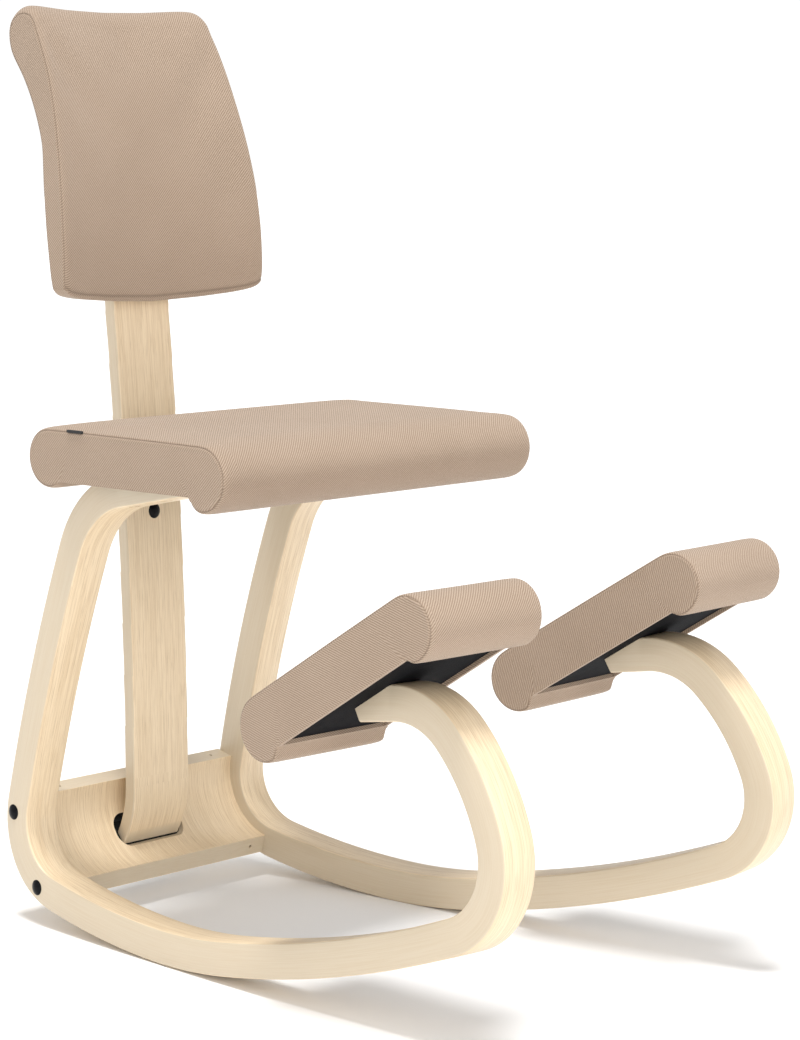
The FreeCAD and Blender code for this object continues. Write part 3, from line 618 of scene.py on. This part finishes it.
headRoom = {
    "radius": 6.0, "seatS": (-178.0, -128.0), "seatDeep": 9.0, "seatBelow": 20, "seatZ": 455.0,
    "kneeU": (90.0, 120.0), "kneeX": 2.0, "kneeDeep": 9.0, "kneeBelow": 40,
}


def headRoomCutter():
    # the round rooms for the bolt heads, up into the rails
    work = bmesh.new()
    rise = math.radians(bar["railHeading"] - 180)
    for s in headRoom["seatS"]:
        under = (bar["railEnd"][1] + (s - bar["railEnd"][0]) * math.tan(rise)
                 - bar["thick"] / 2 / math.cos(rise))
        spot = barPlace @ Vector((-bar["width"] / 2, -s, headRoom["seatZ"]))
        rodMesh(work, Matrix.Translation((spot.x, -s, 0)), headRoom["radius"],
                under - headRoom["seatBelow"], under + headRoom["seatDeep"])
    for u in headRoom["kneeU"]:
        place = kneePlace @ Matrix.Translation((headRoom["kneeX"], -u, 0))
        top = knee["panelLevel"] - headRoom["kneeDeep"]
        rodMesh(work, place, headRoom["radius"], top - headRoom["kneeBelow"], top)
    faceOutwards(work)
    mesh = closeMesh(work, bpy.data.meshes.new("headRoom"))
    mesh.transform(Matrix.Scale(mm, 4))
    return addObject("headRoom", mesh)


def sharpen(mesh, degrees):
    # smooth faces, with sharp edges past that angle
    work = openMesh(mesh)
    for face in work.faces:
        face.smooth = True
    for edge in work.edges:
        edge.smooth = not edge.is_manifold or edge.calc_face_angle(0.0) < math.radians(degrees)
    closeMesh(work, mesh)


def storeGrain(mesh, line):
    # each point's place along the bar, across it and through its layers, in metres
    back = np.array((Matrix.Scale(1 / mm, 4) @ toFrame.inverted()))
    inBar = np.array(barPlace.inverted())
    count = len(mesh.vertices)
    co = np.c_[pointsOf(mesh), np.ones(count)]
    co = (inBar @ (back @ co.T))[:3].T
    s, z = -co[:, 1], co[:, 2]
    gap = (s[:, None] - line[None, :, 0]) ** 2 + (z[:, None] - line[None, :, 1]) ** 2
    near = gap.argmin(axis=1)
    ds, dz = s - line[near, 0], z - line[near, 1]
    heading = line[near, 2]
    grain = np.empty((count, 3))
    grain[:, 0] = (line[near, 3] + ds * np.cos(heading) + dz * np.sin(heading)) * mm
    grain[:, 1] = co[:, 0] * mm
    grain[:, 2] = (-ds * np.sin(heading) + dz * np.cos(heading)) * mm
    layer = mesh.attributes.new("grain", "FLOAT_VECTOR", "POINT")
    layer.data.foreach_set("vector", grain.ravel())


def mirroredMesh(mesh, name):
    other = mesh.copy()
    other.name = name
    other.transform(Matrix.Scale(-1, 4, (1, 0, 0)))
    other.flip_normals()
    for layer in other.uv_layers:  # the weave's ribs keep their way
        places = np.empty(len(layer.data) * 2)
        layer.data.foreach_get("uv", places)
        places[0::2] *= -1
        layer.data.foreach_set("uv", places)
    return other


def makeBars():
    line = barLine()
    mesh = sweptBar(line)
    mesh.transform(Matrix.Scale(1 / mm, 4))
    work = openMesh(mesh)
    bmesh.ops.remove_doubles(work, verts=work.verts, dist=0.01)
    # the tip is cut square, then the bar is flat under the seat and under the knee rest
    low, high = bar["tipLow"], bar["tipHigh"]
    size = math.dist(low, high)
    outward = Vector((0, (high[1] - low[1]) / size, (high[0] - low[0]) / size))
    sliceOff(work, Vector((0, -low[0], low[1])), outward, bar["tipZone"])
    bmesh.ops.transform(work, matrix=barPlace, verts=work.verts)
    sliceOff(work, Vector((0, 0, bar["seatLevel"])), Vector((0, 0, 1)), bar["seatZone"])
    level = kneePlace @ Vector((0, 0, knee["panelLevel"]))
    up = (kneePlace.to_3x3() @ Vector((0, 0, 1))).normalized()
    sliceOff(work, level, up, bar["kneeZone"])
    faceOutwards(work)
    closeMesh(work, mesh).transform(Matrix.Scale(mm, 4))
    left = addObject("leftRunner", mesh)
    cutter = headRoomCutter()
    cut = left.modifiers.new("headRoom", "BOOLEAN")
    cut.operation = "DIFFERENCE"
    cut.object = cutter
    cut.solver = "EXACT"
    finished = evaluatedMesh(left)
    dropObject(left)
    dropObject(cutter)
    finished.transform(toFrame)
    storeGrain(finished, line)
    finished.materials.clear()
    finished.materials.append(barWood)
    sharpen(finished, bar["sharpAbove"])
    return (addObject("leftRunnerWood", finished),
            addObject("rightRunnerWood", mirroredMesh(finished, "rightRunnerWood")))


for item, node in zip(makeBars(), ("left_runner", "right_runner")):
    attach(item, body)
    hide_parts(node)
print("bars made")


# upholstery

def circlePoints(a, b, c, count):
    # count points from a towards c on the arc through b, without c
    (ax, ay), (bx, by), (cx, cy) = a, b, c
    d = 2 * (ax * (by - cy) + bx * (cy - ay) + cx * (ay - by))
    if abs(d) < 1e-6:
        return straight(a, c, [i / count for i in range(count)])
    aa, bb, cc = [x * x + y * y for x, y in (a, b, c)]
    ux = (aa * (by - cy) + bb * (cy - ay) + cc * (ay - by)) / d
    uy = (aa * (cx - bx) + bb * (ax - cx) + cc * (bx - ax)) / d
    radius = math.hypot(ax - ux, ay - uy)
    first, middle, last = [math.atan2(y - uy, x - ux) for x, y in (a, b, c)]
    turn = (last - first) % (2 * math.pi)
    if (middle - first) % (2 * math.pi) > turn:
        turn -= 2 * math.pi
    turns = [first + turn * i / count for i in range(count)]
    return [(ux + radius * math.cos(angle), uy + radius * math.sin(angle)) for angle in turns]


def straight(a, b, stops):
    return [(a[0] + (b[0] - a[0]) * t, a[1] + (b[1] - a[1]) * t) for t in stops]


def stations(half, wall, spacing):
    # places across the width, closer together beside the seams
    near = [0.0, 1.3, 3.4, wall, wall + 5.0, wall + 12.0]
    rest = half - near[-1]
    count = max(2, round(rest / spacing))
    left = [-half + v for v in near] + [-rest + rest * i / count for i in range(1, count)] + [0.0]
    return left + [-v for v in reversed(left[:-1])]


# places down a side panel, closer together beside its seam
capStops = [0.035, 0.10, 0.24, 0.42, 0.58, 0.76, 0.90, 0.965]


def roundPlaces(ring):
    # the way round a ring, from its first point back to it
    steps = np.linalg.norm(np.diff(np.r_[ring, ring[:1]], axis=0), axis=1)
    return np.r_[0.0, np.cumsum(steps)]


def loftForm(rings, pole, uvAcross, uvRound, pocket=None):
    # a closed form from rings of equal count, each end filled from pole to pole, with a pocket below
    # gives vertices, faces, the weave's place at each face corner and the edges that stay sharp
    stationCount, ringCount = rings.shape[:2]
    verts = [tuple(p) for ring in rings for p in ring]
    faces, corners, creased = [], [], []

    def at(i, k):
        return i * ringCount + k % ringCount

    def addFace(face, places):
        faces.append(face)
        corners.append(places)

    openCells = set()
    if pocket:
        i0, i1, k0, k1 = pocket["cells"]
        openCells = {(i, k) for i in range(i0, i1) for k in range(k0, k1)}
    for i in range(stationCount - 1):
        for k in range(ringCount):
            if (i, k) in openCells:
                continue
            addFace((at(i, k), at(i, k + 1), at(i + 1, k + 1), at(i + 1, k)),
                    [(uvAcross[i], uvRound[k]), (uvAcross[i], uvRound[k + 1]),
                     (uvAcross[i + 1], uvRound[k + 1]), (uvAcross[i + 1], uvRound[k])])

    def addFlat(*face):
        addFace(face, [(-verts[v][1], -verts[v][2]) for v in face])

    half = ringCount // 2
    for i in (0, stationCount - 1):
        ring = rings[i]
        grid = []
        for j in range(1, half):
            top, low = ring[(pole + j) % ringCount], ring[(pole - j) % ringCount]
            column = [at(i, pole + j)]
            for t in capStops:
                column.append(len(verts))
                verts.append(tuple(top + (low - top) * t))
            column.append(at(i, pole - j))
            grid.append(column)
        for first, second in zip(grid, grid[1:]):
            for r in range(len(first) - 1):
                addFlat(first[r], first[r + 1], second[r + 1], second[r])
        for column, tip in ((grid[0], at(i, pole)), (grid[-1], at(i, pole + half))):
            for r in range(len(column) - 1):
                addFlat(tip, column[r], column[r + 1])
    if not pocket:
        return verts, faces, corners, creased

    raised = {}

    def up(i, k):
        if (i, k) not in raised:
            x, y, _ = verts[at(i, k)]
            raised[i, k] = len(verts)
            verts.append((x, y, pocket["top"]))
        return raised[i, k]

    for i, k in sorted(openCells):
        face = (up(i, k), up(i, k + 1), up(i + 1, k + 1), up(i + 1, k))
        addFace(face, [(verts[v][0], verts[v][1]) for v in face])
    rim = [(i, k0) for i in range(i0, i1)] + [(i1, k) for k in range(k0, k1)]
    rim += [(i, k1) for i in range(i1, i0, -1)] + [(i0, k) for k in range(k1, k0, -1)]
    for a, b in zip(rim, rim[1:] + rim[:1]):
        face = (at(*a), at(*b), up(*b), up(*a))
        addFace(face, [(verts[v][0] + verts[v][1], verts[v][2]) for v in face])
        creased += [(at(*a), at(*b)), (up(*a), up(*b))]
    for spot in ((i0, k0), (i1, k0), (i1, k1), (i0, k1)):
        creased.append((at(*spot), up(*spot)))
    return verts, faces, corners, creased


def formMesh(name, verts, faces, corners, creased):
    mesh = bpy.data.meshes.new(name)
    mesh.from_pydata([Vector(v) * mm for v in verts], [], faces)
    layer = mesh.uv_layers.new(name="weave")
    places = np.array([uv for face in corners for uv in face], dtype=float)
    layer.data.foreach_set("uv", places.ravel() * mm)
    work = openMesh(mesh)
    faceOutwards(work)
    if creased:
        crease = work.edges.layers.float.new("crease_edge")
        wanted = {frozenset(pair) for pair in creased}
        for edge in work.edges:
            if frozenset((edge.verts[0].index, edge.verts[1].index)) in wanted:
                edge[crease] = 1.0
    for face in work.faces:
        face.smooth = True
    return closeMesh(work, mesh)


coverCloth = {
    "quality": 6,
    "mass": 0.25,
    "tension_stiffness": 30,
    "compression_stiffness": 30,
    "shear_stiffness": 12,
    "bending_stiffness": 6,
    "use_pressure": True,
}
swellFrames = 20


def freePoints(stationCount, ringCount, inset, first, last):
    # what the cloth may move: the band's points first to last, away from the seams, and both side panels
    free = {i * ringCount + k for i in range(inset, stationCount - inset) for k in range(first, last)}
    columns = ringCount // 2 - 1
    for side in range(2):
        for j in range(inset, columns - inset):
            start = stationCount * ringCount + (side * columns + j) * len(capStops)
            free.update(range(start + 1, start + len(capStops) - 1))
    return free


def inflate(item, free, pressure, cap):
    # lets the cover swell under pressure where it isn't held
    mesh = item.data
    before = pointsOf(mesh)
    held = item.vertex_groups.new(name="held")
    held.add([i for i in range(len(before)) if i not in free], 1.0, "REPLACE")
    cloth = item.modifiers.new("cover", "CLOTH")
    for key, value in coverCloth.items():
        setattr(cloth.settings, key, value)
    cloth.settings.vertex_group_mass = "held"
    cloth.settings.uniform_pressure_force = pressure
    cloth.settings.effector_weights.gravity = 0
    cloth.collision_settings.use_collision = False
    scene = bpy.context.scene
    for number in range(1, swellFrames + 1):
        scene.frame_set(number)
    graph = bpy.context.evaluated_depsgraph_get()
    move = pointsOf(item.evaluated_get(graph).data) - before
    item.modifiers.remove(cloth)
    item.vertex_groups.remove(held)
    scene.frame_set(1)
    size = np.linalg.norm(move, axis=1)
    print("  swelled by", round(size.max() / mm, 2), "mm at most")
    scale = np.minimum(1.0, cap * mm / np.maximum(size, 1e-9))
    mesh.vertices.foreach_set("co", (before + move * scale[:, None]).ravel())
    mesh.update()


def subdivided(item, levels):
    modifier = item.modifiers.new("finer", "SUBSURF")
    modifier.levels = modifier.render_levels = levels
    modifier.uv_smooth = "NONE"
    mesh = evaluatedMesh(item)
    old = item.data
    item.modifiers.remove(modifier)
    item.data = mesh
    bpy.data.meshes.remove(old)


seamShape = {"deep": 0.9, "wide": 0.8, "lip": 0.25, "lipAt": 2.4, "lipWide": 1.3, "reach": 7.0, "step": 0.4}


def sewSeams(item, lines):
    # presses each seam in as a narrow groove between two soft lips, and stores a painted shade along the
    # groove that darkens the cover's colour there
    mesh = item.data
    points = []
    for line in lines:
        for a, b in zip(line, line[1:]):
            steps = max(1, int((b - a).length / (seamShape["step"] * mm)))
            points += [a + (b - a) * (i / steps) for i in range(steps)]
        points.append(line[-1])
    tree = KDTree(len(points))
    for i, p in enumerate(points):
        tree.insert(p, i)
    tree.balance()
    shade = np.zeros(len(mesh.vertices))
    moved = []
    for vertex in mesh.vertices:
        gap = tree.find(vertex.co)[2] / mm
        if gap > seamShape["reach"]:
            continue
        groove = math.exp(-(gap / seamShape["wide"]) ** 2)
        lip = math.exp(-((gap - seamShape["lipAt"]) / seamShape["lipWide"]) ** 2)
        shade[vertex.index] = groove
        moved.append((vertex, vertex.normal * (seamShape["lip"] * lip - seamShape["deep"] * groove) * mm))
    for vertex, shift in moved:
        vertex.co += shift
    # the groove's painted shade, kept for the cover's colour
    layer = mesh.attributes.new("paintedSeamShade", "FLOAT", "POINT")
    layer.data.foreach_set("value", shade)
    mesh.update()


def seamLine(mesh, indices):
    # a subdivided mesh starts with the old vertices, in the same order
    return [mesh.vertices[i].co.copy() for i in indices]


# seat and knee rests: a band of cover over the top and two noses, and two side panels

seatPad = {
    "half": 216.2, "wall": 6.0, "spacing": 13.0,
    "rear": (-228.5, 488.7, 30.3), "front": (-11.0, 484.0, 33.3),
    "level": 466.0, "pocket": (-213.0, -29.0), "pocketTop": 484.8,
    "rearLip": (0.35, 0.30), "frontLip": (0.35, 0.30),
    "drawn": 2.8, "crown": 2.0, "pressure": 3.0, "swell": 2.2, "fill": 0.85,
}
kneePad = {
    "half": 69.4, "wall": 5.0, "spacing": 10.0,
    "rear": (0.0, 0.0, 32.0), "front": (219.5, 0.0, 31.0),
    "level": -22.0, "pocket": (13.0, 203.0), "pocketTop": -6.2,
    "rearLip": (0.48, 0.56), "frontLip": (0.35, 0.30),
    "drawn": 1.6, "crown": 1.5, "pressure": 3.0, "swell": 2.0, "fill": 0.85,
}
# points round a pad for each part of its outline, and what both kinds of pad share
padRound = {"lip": 4, "nose": 7, "top": 26, "rim": 2.0, "inset": 3, "drawnOver": 2.6, "edgeCrown": 0.8,
            "sharpAbove": 55}


def padRing(pad, shrink, crown):
    # the pad's outline from the rear lip, over the top, to the front lip and back below
    rearS, rearZ, rearR = pad["rear"]
    frontS, frontZ, frontR = pad["front"]
    rearR, frontR = rearR - shrink, frontR - shrink
    level, (pocketRear, pocketFront) = pad["level"], pad["pocket"]
    lip, nose, top, rim = [padRound[key] for key in ("lip", "nose", "top", "rim")]
    k = math.sqrt(0.5)
    lipRear, lipFront = (pocketRear - rim, level), (pocketFront + rim, level)

    def lipMiddle(tip, s, z, radius, share):
        low = z - radius
        return (tip[0] + (s - tip[0]) * share[0], low + (tip[1] - low) * share[1])

    lowRear, lowFront = (rearS, rearZ - rearR), (frontS, frontZ - frontR)
    noseRear, noseFront = (rearS - rearR, rearZ), (frontS + frontR, frontZ)
    topRear, topFront = (rearS, rearZ + rearR), (frontS, frontZ + frontR)
    crest = ((rearS + frontS) / 2, (rearZ + rearR + frontZ + frontR) / 2 + crown)
    arcs = [
        (lipRear, lipMiddle(lipRear, rearS, rearZ, rearR, pad["rearLip"]), lowRear, lip),
        (lowRear, (rearS - rearR * k, rearZ - rearR * k), noseRear, nose),
        (noseRear, (rearS - rearR * k, rearZ + rearR * k), topRear, nose),
        (topRear, crest, topFront, top),
        (topFront, (frontS + frontR * k, frontZ + frontR * k), noseFront, nose),
        (noseFront, (frontS + frontR * k, frontZ - frontR * k), lowFront, nose),
        (lowFront, lipMiddle(lipFront, frontS, frontZ, frontR, pad["frontLip"]), lipFront, lip),
    ]
    points = [point for arc in arcs for point in circlePoints(*arc)]
    # so many points below that the two noses lie opposite each other
    inner = top - 2 * lip - 2
    span = lipFront[0] - lipRear[0]
    stops = [0.0] + [(rim + (span - 2 * rim) * i / inner) / span for i in range(inner + 1)]
    return points + straight(lipFront, lipRear, stops)


def makePad(name, pad, place):
    across = stations(pad["half"], pad["wall"], pad["spacing"])
    rings = []
    for x in across:
        inward = pad["half"] - abs(x)
        shrink = pad["drawn"] * math.exp(-inward / padRound["drawnOver"])
        crown = pad["crown"] * (1 - padRound["edgeCrown"] * (abs(x) / pad["half"]) ** 4)
        rings.append([(x, -s, z) for s, z in padRing(pad, shrink, crown)])
    rings = np.array(rings)
    ringCount = rings.shape[1]
    uvRound = roundPlaces(rings[len(across) // 2])
    bottom = 2 * padRound["lip"] + 4 * padRound["nose"] + padRound["top"]
    inset = padRound["inset"]
    pocket = {"cells": (inset, len(across) - 1 - inset, bottom + 1, ringCount - 1), "top": pad["pocketTop"]}
    pole = padRound["lip"] + padRound["nose"]
    item = addObject(name, formMesh(name, *loftForm(rings, pole, across, uvRound, pocket)))
    inflate(item, freePoints(len(across), ringCount, 2, 3, bottom - 2), pad["pressure"], pad["swell"])
    subdivided(item, 2)
    sewSeams(item, [seamLine(item.data, [i * ringCount + k for k in range(1, bottom)])
                    for i in (0, len(across) - 1)])
    item.data.transform(toFrame @ Matrix.Scale(mm, 4) @ place @ Matrix.Scale(1 / mm, 4))
    item.data.materials.append(twill)
    sharpen(item.data, padRound["sharpAbove"])
    return item


def dress(item, fill, *nodes):
    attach(item, body)
    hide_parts(*nodes)
    print(item.name, "faces", len(item.data.polygons))


dress(makePad("seatCushion", seatPad, Matrix.Identity(4)), seatPad["fill"], "seat_cushion")
leftKnee = makePad("leftKneeCushion", kneePad, kneePlace)
rightKnee = addObject("rightKneeCushion", mirroredMesh(leftKnee.data, "rightKneeCushion"))
dress(leftKnee, kneePad["fill"], "left_knee_cushion")
dress(rightKnee, kneePad["fill"], "right_knee_cushion")
print("seat and knee rests made")


# backrest: wrapped forward at its sides, leaning back at its top

backPad = {
    # mid-plane outline: arcs through three points (s, z) each
    "frontArc": ((-291.5, 621.5), (-292.5, 712), (-304.5, 795)),
    "upperArc": ((-304.5, 795), (-323, 857), (-349.5, 914)),
    "crestArc": ((-349.5, 914), (-370, 933.5), (-394, 917)),
    "overhangArc": ((-394, 917), (-392.5, 897), (-379, 873)),
    "tuckArc": ((-379, 873), (-353, 836)),
    "postTopZ": 790,
    "bottom": 629.5,
    "rearGap": 1.8,
    "wrap": 18.0, "wrapHalf": 130.0,
    "frontSteps": 30, "rearSteps": 30, "bottomSteps": 6,
    "half": 138.0, "edgeStations": (0.0, 1.3, 3.4, 6.5, 11.0, 17.0, 25.0), "middleStations": 10,
    "drawn": 2.6, "drawnOver": 2.8, "pressure": 3.0, "swell": 2.5, "fill": 0.85,
    "topForward": 4.0, "topFrom": 800.0, "seamRise": 0.4, "seamOut": 0.4,
    "restHalf": 42.0, "restTop": 803.0, "restGap": 0.3,
    # half width at heights above the floor
    "side": [(629, 134.0), (645, 137.0), (658, 138.6), (707, 138.0), (752, 135.8), (795, 131.6), (836, 127.0),
             (860, 124.8), (893, 122.4), (921, 120.0), (935, 118.5)],
    # how far the lower and upper edges lie off their middle, by share of the half width
    "lower": [(0.0, 0.0), (0.46, 2.6), (0.75, 6.0), (0.87, 8.4), (0.95, 11.0), (1.0, 16.5)],
    "upper": [(0.0, -4.3), (0.45, -3.2), (0.80, -1.0), (0.92, -1.2), (0.965, -2.8), (1.0, -7.5)],
    "lowerReach": 90.0, "upperReach": 80.0, "reachPower": 1.5,
}
tableStops = 401
tableSmoothing = 24


def postFront(z):
    return -postCurve["frontY"] - (z - postCurve["frontZ"]) ** 2 / (2 * postCurve["radius"])


def backRing():
    # mid-plane outline (s, z): up the front, over the crest, down the rear, then forward below
    def rear(z):
        return postFront(z) + backPad["wrap"] - backPad["rearGap"]

    low, postTop = backPad["bottom"], backPad["postTopZ"]
    footZ = backPad["frontArc"][0][1]
    crest = circlePoints(*backPad["crestArc"], 24)
    front = circlePoints(*backPad["frontArc"], 60) + circlePoints(*backPad["upperArc"], 40) + crest[:13]
    back = crest[12:] + circlePoints(*backPad["overhangArc"], 20)
    back += circlePoints(*backPad["tuckArc"], (rear(postTop), postTop), 30)
    back += straight((rear(postTop), postTop), (rear(footZ), footZ), [i / 60 for i in range(61)])
    front = [p for p in front if p[1] > low]
    back = [p for p in back if p[1] > low]

    def even(chain, count):
        chain = np.array(chain)
        run = np.r_[0.0, np.cumsum(np.linalg.norm(np.diff(chain, axis=0), axis=1))]
        stops = np.linspace(0, run[-1], count + 1)
        return np.c_[np.interp(stops, run, chain[:, 0]), np.interp(stops, run, chain[:, 1])]

    upFront = even([(front[0][0], low)] + front, backPad["frontSteps"])
    downRear = even(back + [(back[-1][0], low)], backPad["rearSteps"])
    below = even([downRear[-1], upFront[0]], backPad["bottomSteps"])
    return np.r_[upFront[:-1], downRear[:-1], below[:-1]]


def softTable(rows, value):
    # the table's curve, smoothed between its rows
    rows = np.array(rows)
    fine = np.linspace(rows[0, 0], rows[-1, 0], tableStops)
    level = np.interp(fine, rows[:, 0], rows[:, 1])
    for _ in range(tableSmoothing):
        level[1:-1] = (level[:-2] + level[1:-1] * 2 + level[2:]) / 4
    return np.interp(value, fine, level)


def backShares():
    # places across as shares of the half width, closer together beside the seams
    shares = [-1 + v / backPad["half"] for v in backPad["edgeStations"]]
    edge, count = shares[-1], backPad["middleStations"]
    shares += [edge * (1 - i / count) for i in range(1, count)] + [0.0]
    return shares + [-v for v in reversed(shares[:-1])]


def makeBackrest():
    look = backPad
    ring = backRing()
    ringCount = len(ring)
    top, low = ring[:, 1].max(), ring[:, 1].min()
    ahead = np.roll(ring, -1, axis=0) - np.roll(ring, 1, axis=0)
    inwardWay = np.c_[-ahead[:, 1], ahead[:, 0]]
    inwardWay /= np.linalg.norm(inwardWay, axis=1)[:, None]
    if ((ring.mean(axis=0) - ring[5]) * inwardWay[5]).sum() < 0:
        inwardWay = -inwardWay
    shares = backShares()
    rings = []
    for t in shares:
        inward = (1 - abs(t)) * look["half"]
        points = ring + inwardWay * look["drawn"] * math.exp(-inward / look["drawnOver"])
        z = points[:, 1].copy()
        reach = np.clip(1 - (z - low) / look["lowerReach"], 0, 1) ** look["reachPower"]
        z = z + softTable(look["lower"], abs(t)) * reach
        reach = np.clip(1 - (top - z) / look["upperReach"], 0, 1) ** look["reachPower"]
        z = z + softTable(look["upper"], abs(t)) * reach
        x = t * softTable(look["side"], z)
        s = points[:, 0] + look["wrap"] * ((x / look["wrapHalf"]) ** 2 - 1)
        lean = np.clip((points[:, 1] - look["topFrom"]) / (top - look["topFrom"]), 0, 1)
        s += look["topForward"] * lean ** look["reachPower"]
        rings.append(np.c_[x, -s, z])
    rings = np.array(rings)
    # the post's front lies against the rear
    first, last = look["frontSteps"], look["frontSteps"] + look["rearSteps"]
    rear = rings[:, first:last + 1]
    behind = (np.abs(rear[..., 0]) < look["restHalf"]) & (rear[..., 2] < look["restTop"])
    limit = -(postFront(rear[..., 2]) + look["restGap"])
    rear[..., 1] = np.where(behind, np.minimum(rear[..., 1], limit), rear[..., 1])
    uvRound = -roundPlaces(rings[len(shares) // 2])
    across = np.array(shares) * look["half"]
    item = addObject("backrestCushion", formMesh("backrestCushion", *loftForm(rings, first, across, uvRound)))
    inflate(item, freePoints(len(shares), ringCount, 3, 2, first + 6), look["pressure"], look["swell"])
    subdivided(item, 2)
    lines = [seamLine(item.data, [i * ringCount + k for k in range(0, last + 1)])
             for i in (0, len(shares) - 1)]
    # the lower seam runs a little above the lower edge
    edgeLine, nextLine = [seamLine(item.data, [i * ringCount + k for i in range(len(shares))])
                          for k in (0, 1)]
    outward = Vector((0, look["seamOut"] * mm, 0))
    lines.append([a.lerp(b, look["seamRise"]) - outward for a, b in zip(edgeLine, nextLine)])
    sewSeams(item, lines)
    item.data.transform(toFrame)
    item.data.materials.append(twill)
    return item


# its board is inside the cover
dress(makeBackrest(), backPad["fill"], "backrest_cushion", "backrest_board")
print("backrest made")


# the blank tag in the seat's side seam

tag = {"s": (176.0, 197.0), "z": 518.6, "x": -217.3, "out": 1.2, "high": 3.0, "steps": 14,
       "edge": 0.3, "inside": 2.2, "wave": 0.18, "waveTurn": 5.1}


def makeTag():
    # a short folded tape, slightly wavy, standing out of the seam
    work = bmesh.new()
    rows = []
    for i in range(tag["steps"] + 1):
        t = i / tag["steps"]
        y = tag["s"][0] + (tag["s"][1] - tag["s"][0]) * t
        out = tag["out"] - tag["wave"] * math.sin(t * tag["waveTurn"])
        fold = []
        for a in [math.radians(angle) for angle in range(0, 181, 30)]:
            fold.append(Vector((tag["x"] - out * math.sin(a) + tag["edge"], y,
                                tag["z"] - tag["high"] / 2 + tag["high"] / 2 * math.cos(a))))
        for drop in (0.8, 0.2):
            fold.append(Vector((tag["x"] + tag["inside"], y, tag["z"] - tag["high"] * drop)))
        rows.append([work.verts.new(p) for p in fold])
    for a, b in zip(rows, rows[1:]):
        for k in range(len(a)):
            j = (k + 1) % len(a)
            work.faces.new((a[k], a[j], b[j], b[k]))
    work.faces.new(rows[0])
    work.faces.new(rows[-1][::-1])
    faceOutwards(work)
    for face in work.faces:
        face.smooth = len(face.verts) == 4
    mesh = closeMesh(work, bpy.data.meshes.new("seatTag"))
    mesh.transform(toFrame @ Matrix.Scale(mm, 4))
    mesh.materials.append(partFinish["blackTape"])
    return addObject("seatTag", mesh)


tagPiece = makeTag()
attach(tagPiece, body)
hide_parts("seat_tag")
print("tag made")


# floor, light and camera

studio = {
    "floorHalf": 30.0,
    "floorTones": ((0.93, 0.93, 0.93), (0.9393, 0.9393, 0.9393)),
    "worldStrength": 0.66,
    "backdrop": 1.05,
    "sunStrength": 2.75,
    "sunWidth": 15.0,
    "sunFrom": (-0.125, -0.065, 1.0),
    "aim": (0, 0, 0.4),
    "fills": {
        "frontFill": {"place": (-1.5, -3.9, 1.4), "size": 3.0, "power": 72.0},
        "sideFill": {"place": (-4.1, -0.7, 0.9), "size": 2.2, "power": 13.0},
    },
}


def makeFloor():
    material, tree, shader = newMaterial("paleFloor", {"Roughness": 0.6, "Specular IOR Level": 0.1})
    soft = noise(tree, objectPlace(tree), 0.7, 1.0)
    tones = [rgba(tone) for tone in studio["floorTones"]]
    tree.links.new(mixColor(tree, soft, *tones), shader.inputs["Base Color"])
    half = studio["floorHalf"]
    mesh = bpy.data.meshes.new("floor")
    corners = [(-half, -half, 0), (half, -half, 0), (half, half, 0), (-half, half, 0)]
    mesh.from_pydata(corners, [], [(0, 1, 2, 3)])
    mesh.materials.append(material)
    addObject("floor", mesh)


def addFill(name, look):
    lamp = bpy.data.lights.new(name, "AREA")
    lamp.shape = "DISK"
    lamp.size = look["size"]
    lamp.energy = look["power"]
    item = addObject(name, lamp)
    item.location = look["place"]
    aim = Vector(studio["aim"]) - item.location
    item.rotation_euler = aim.to_track_quat("-Z", "Y").to_euler()


def addSun():
    lamp = bpy.data.lights.new("overhead", "SUN")
    lamp.energy = studio["sunStrength"]
    lamp.angle = math.radians(studio["sunWidth"])
    item = addObject("overhead", lamp)
    item.rotation_euler = Vector(studio["sunFrom"]).to_track_quat("Z", "Y").to_euler()


def addWorld():
    world = bpy.data.worlds.new("studio")
    world.use_nodes = True
    tree = world.node_tree
    sky = tree.nodes["Background"]
    sky.inputs["Color"].default_value = (1, 1, 1, 1)
    # the backdrop is seen a little brighter than it lights
    seen = tree.nodes.new("ShaderNodeLightPath").outputs["Is Camera Ray"]
    strength = remap(tree, seen, 0.0, 1.0, studio["worldStrength"], studio["backdrop"])
    tree.links.new(strength, sky.inputs["Strength"])
    bpy.context.scene.world = world


makeFloor()
addSun()
for name, look in studio["fills"].items():
    addFill(name, look)
addWorld()
bpy.context.scene.view_settings.view_transform = "Standard"

view = {"place": (-2.09262, -2.02562, 0.79965), "look": (0.72377, 0.67827, -0.12691), "lens": 103.34,
        "sensor": 36.0}
cameraData = bpy.data.cameras.new("camera")
cameraData.lens = view["lens"]
cameraData.sensor_width = view["sensor"]
camera = addObject("camera", cameraData)
camera.location = view["place"]
camera.rotation_euler = Vector(view["look"]).to_track_quat("-Z", "Y").to_euler()
bpy.context.scene.camera = camera
print("stage set")
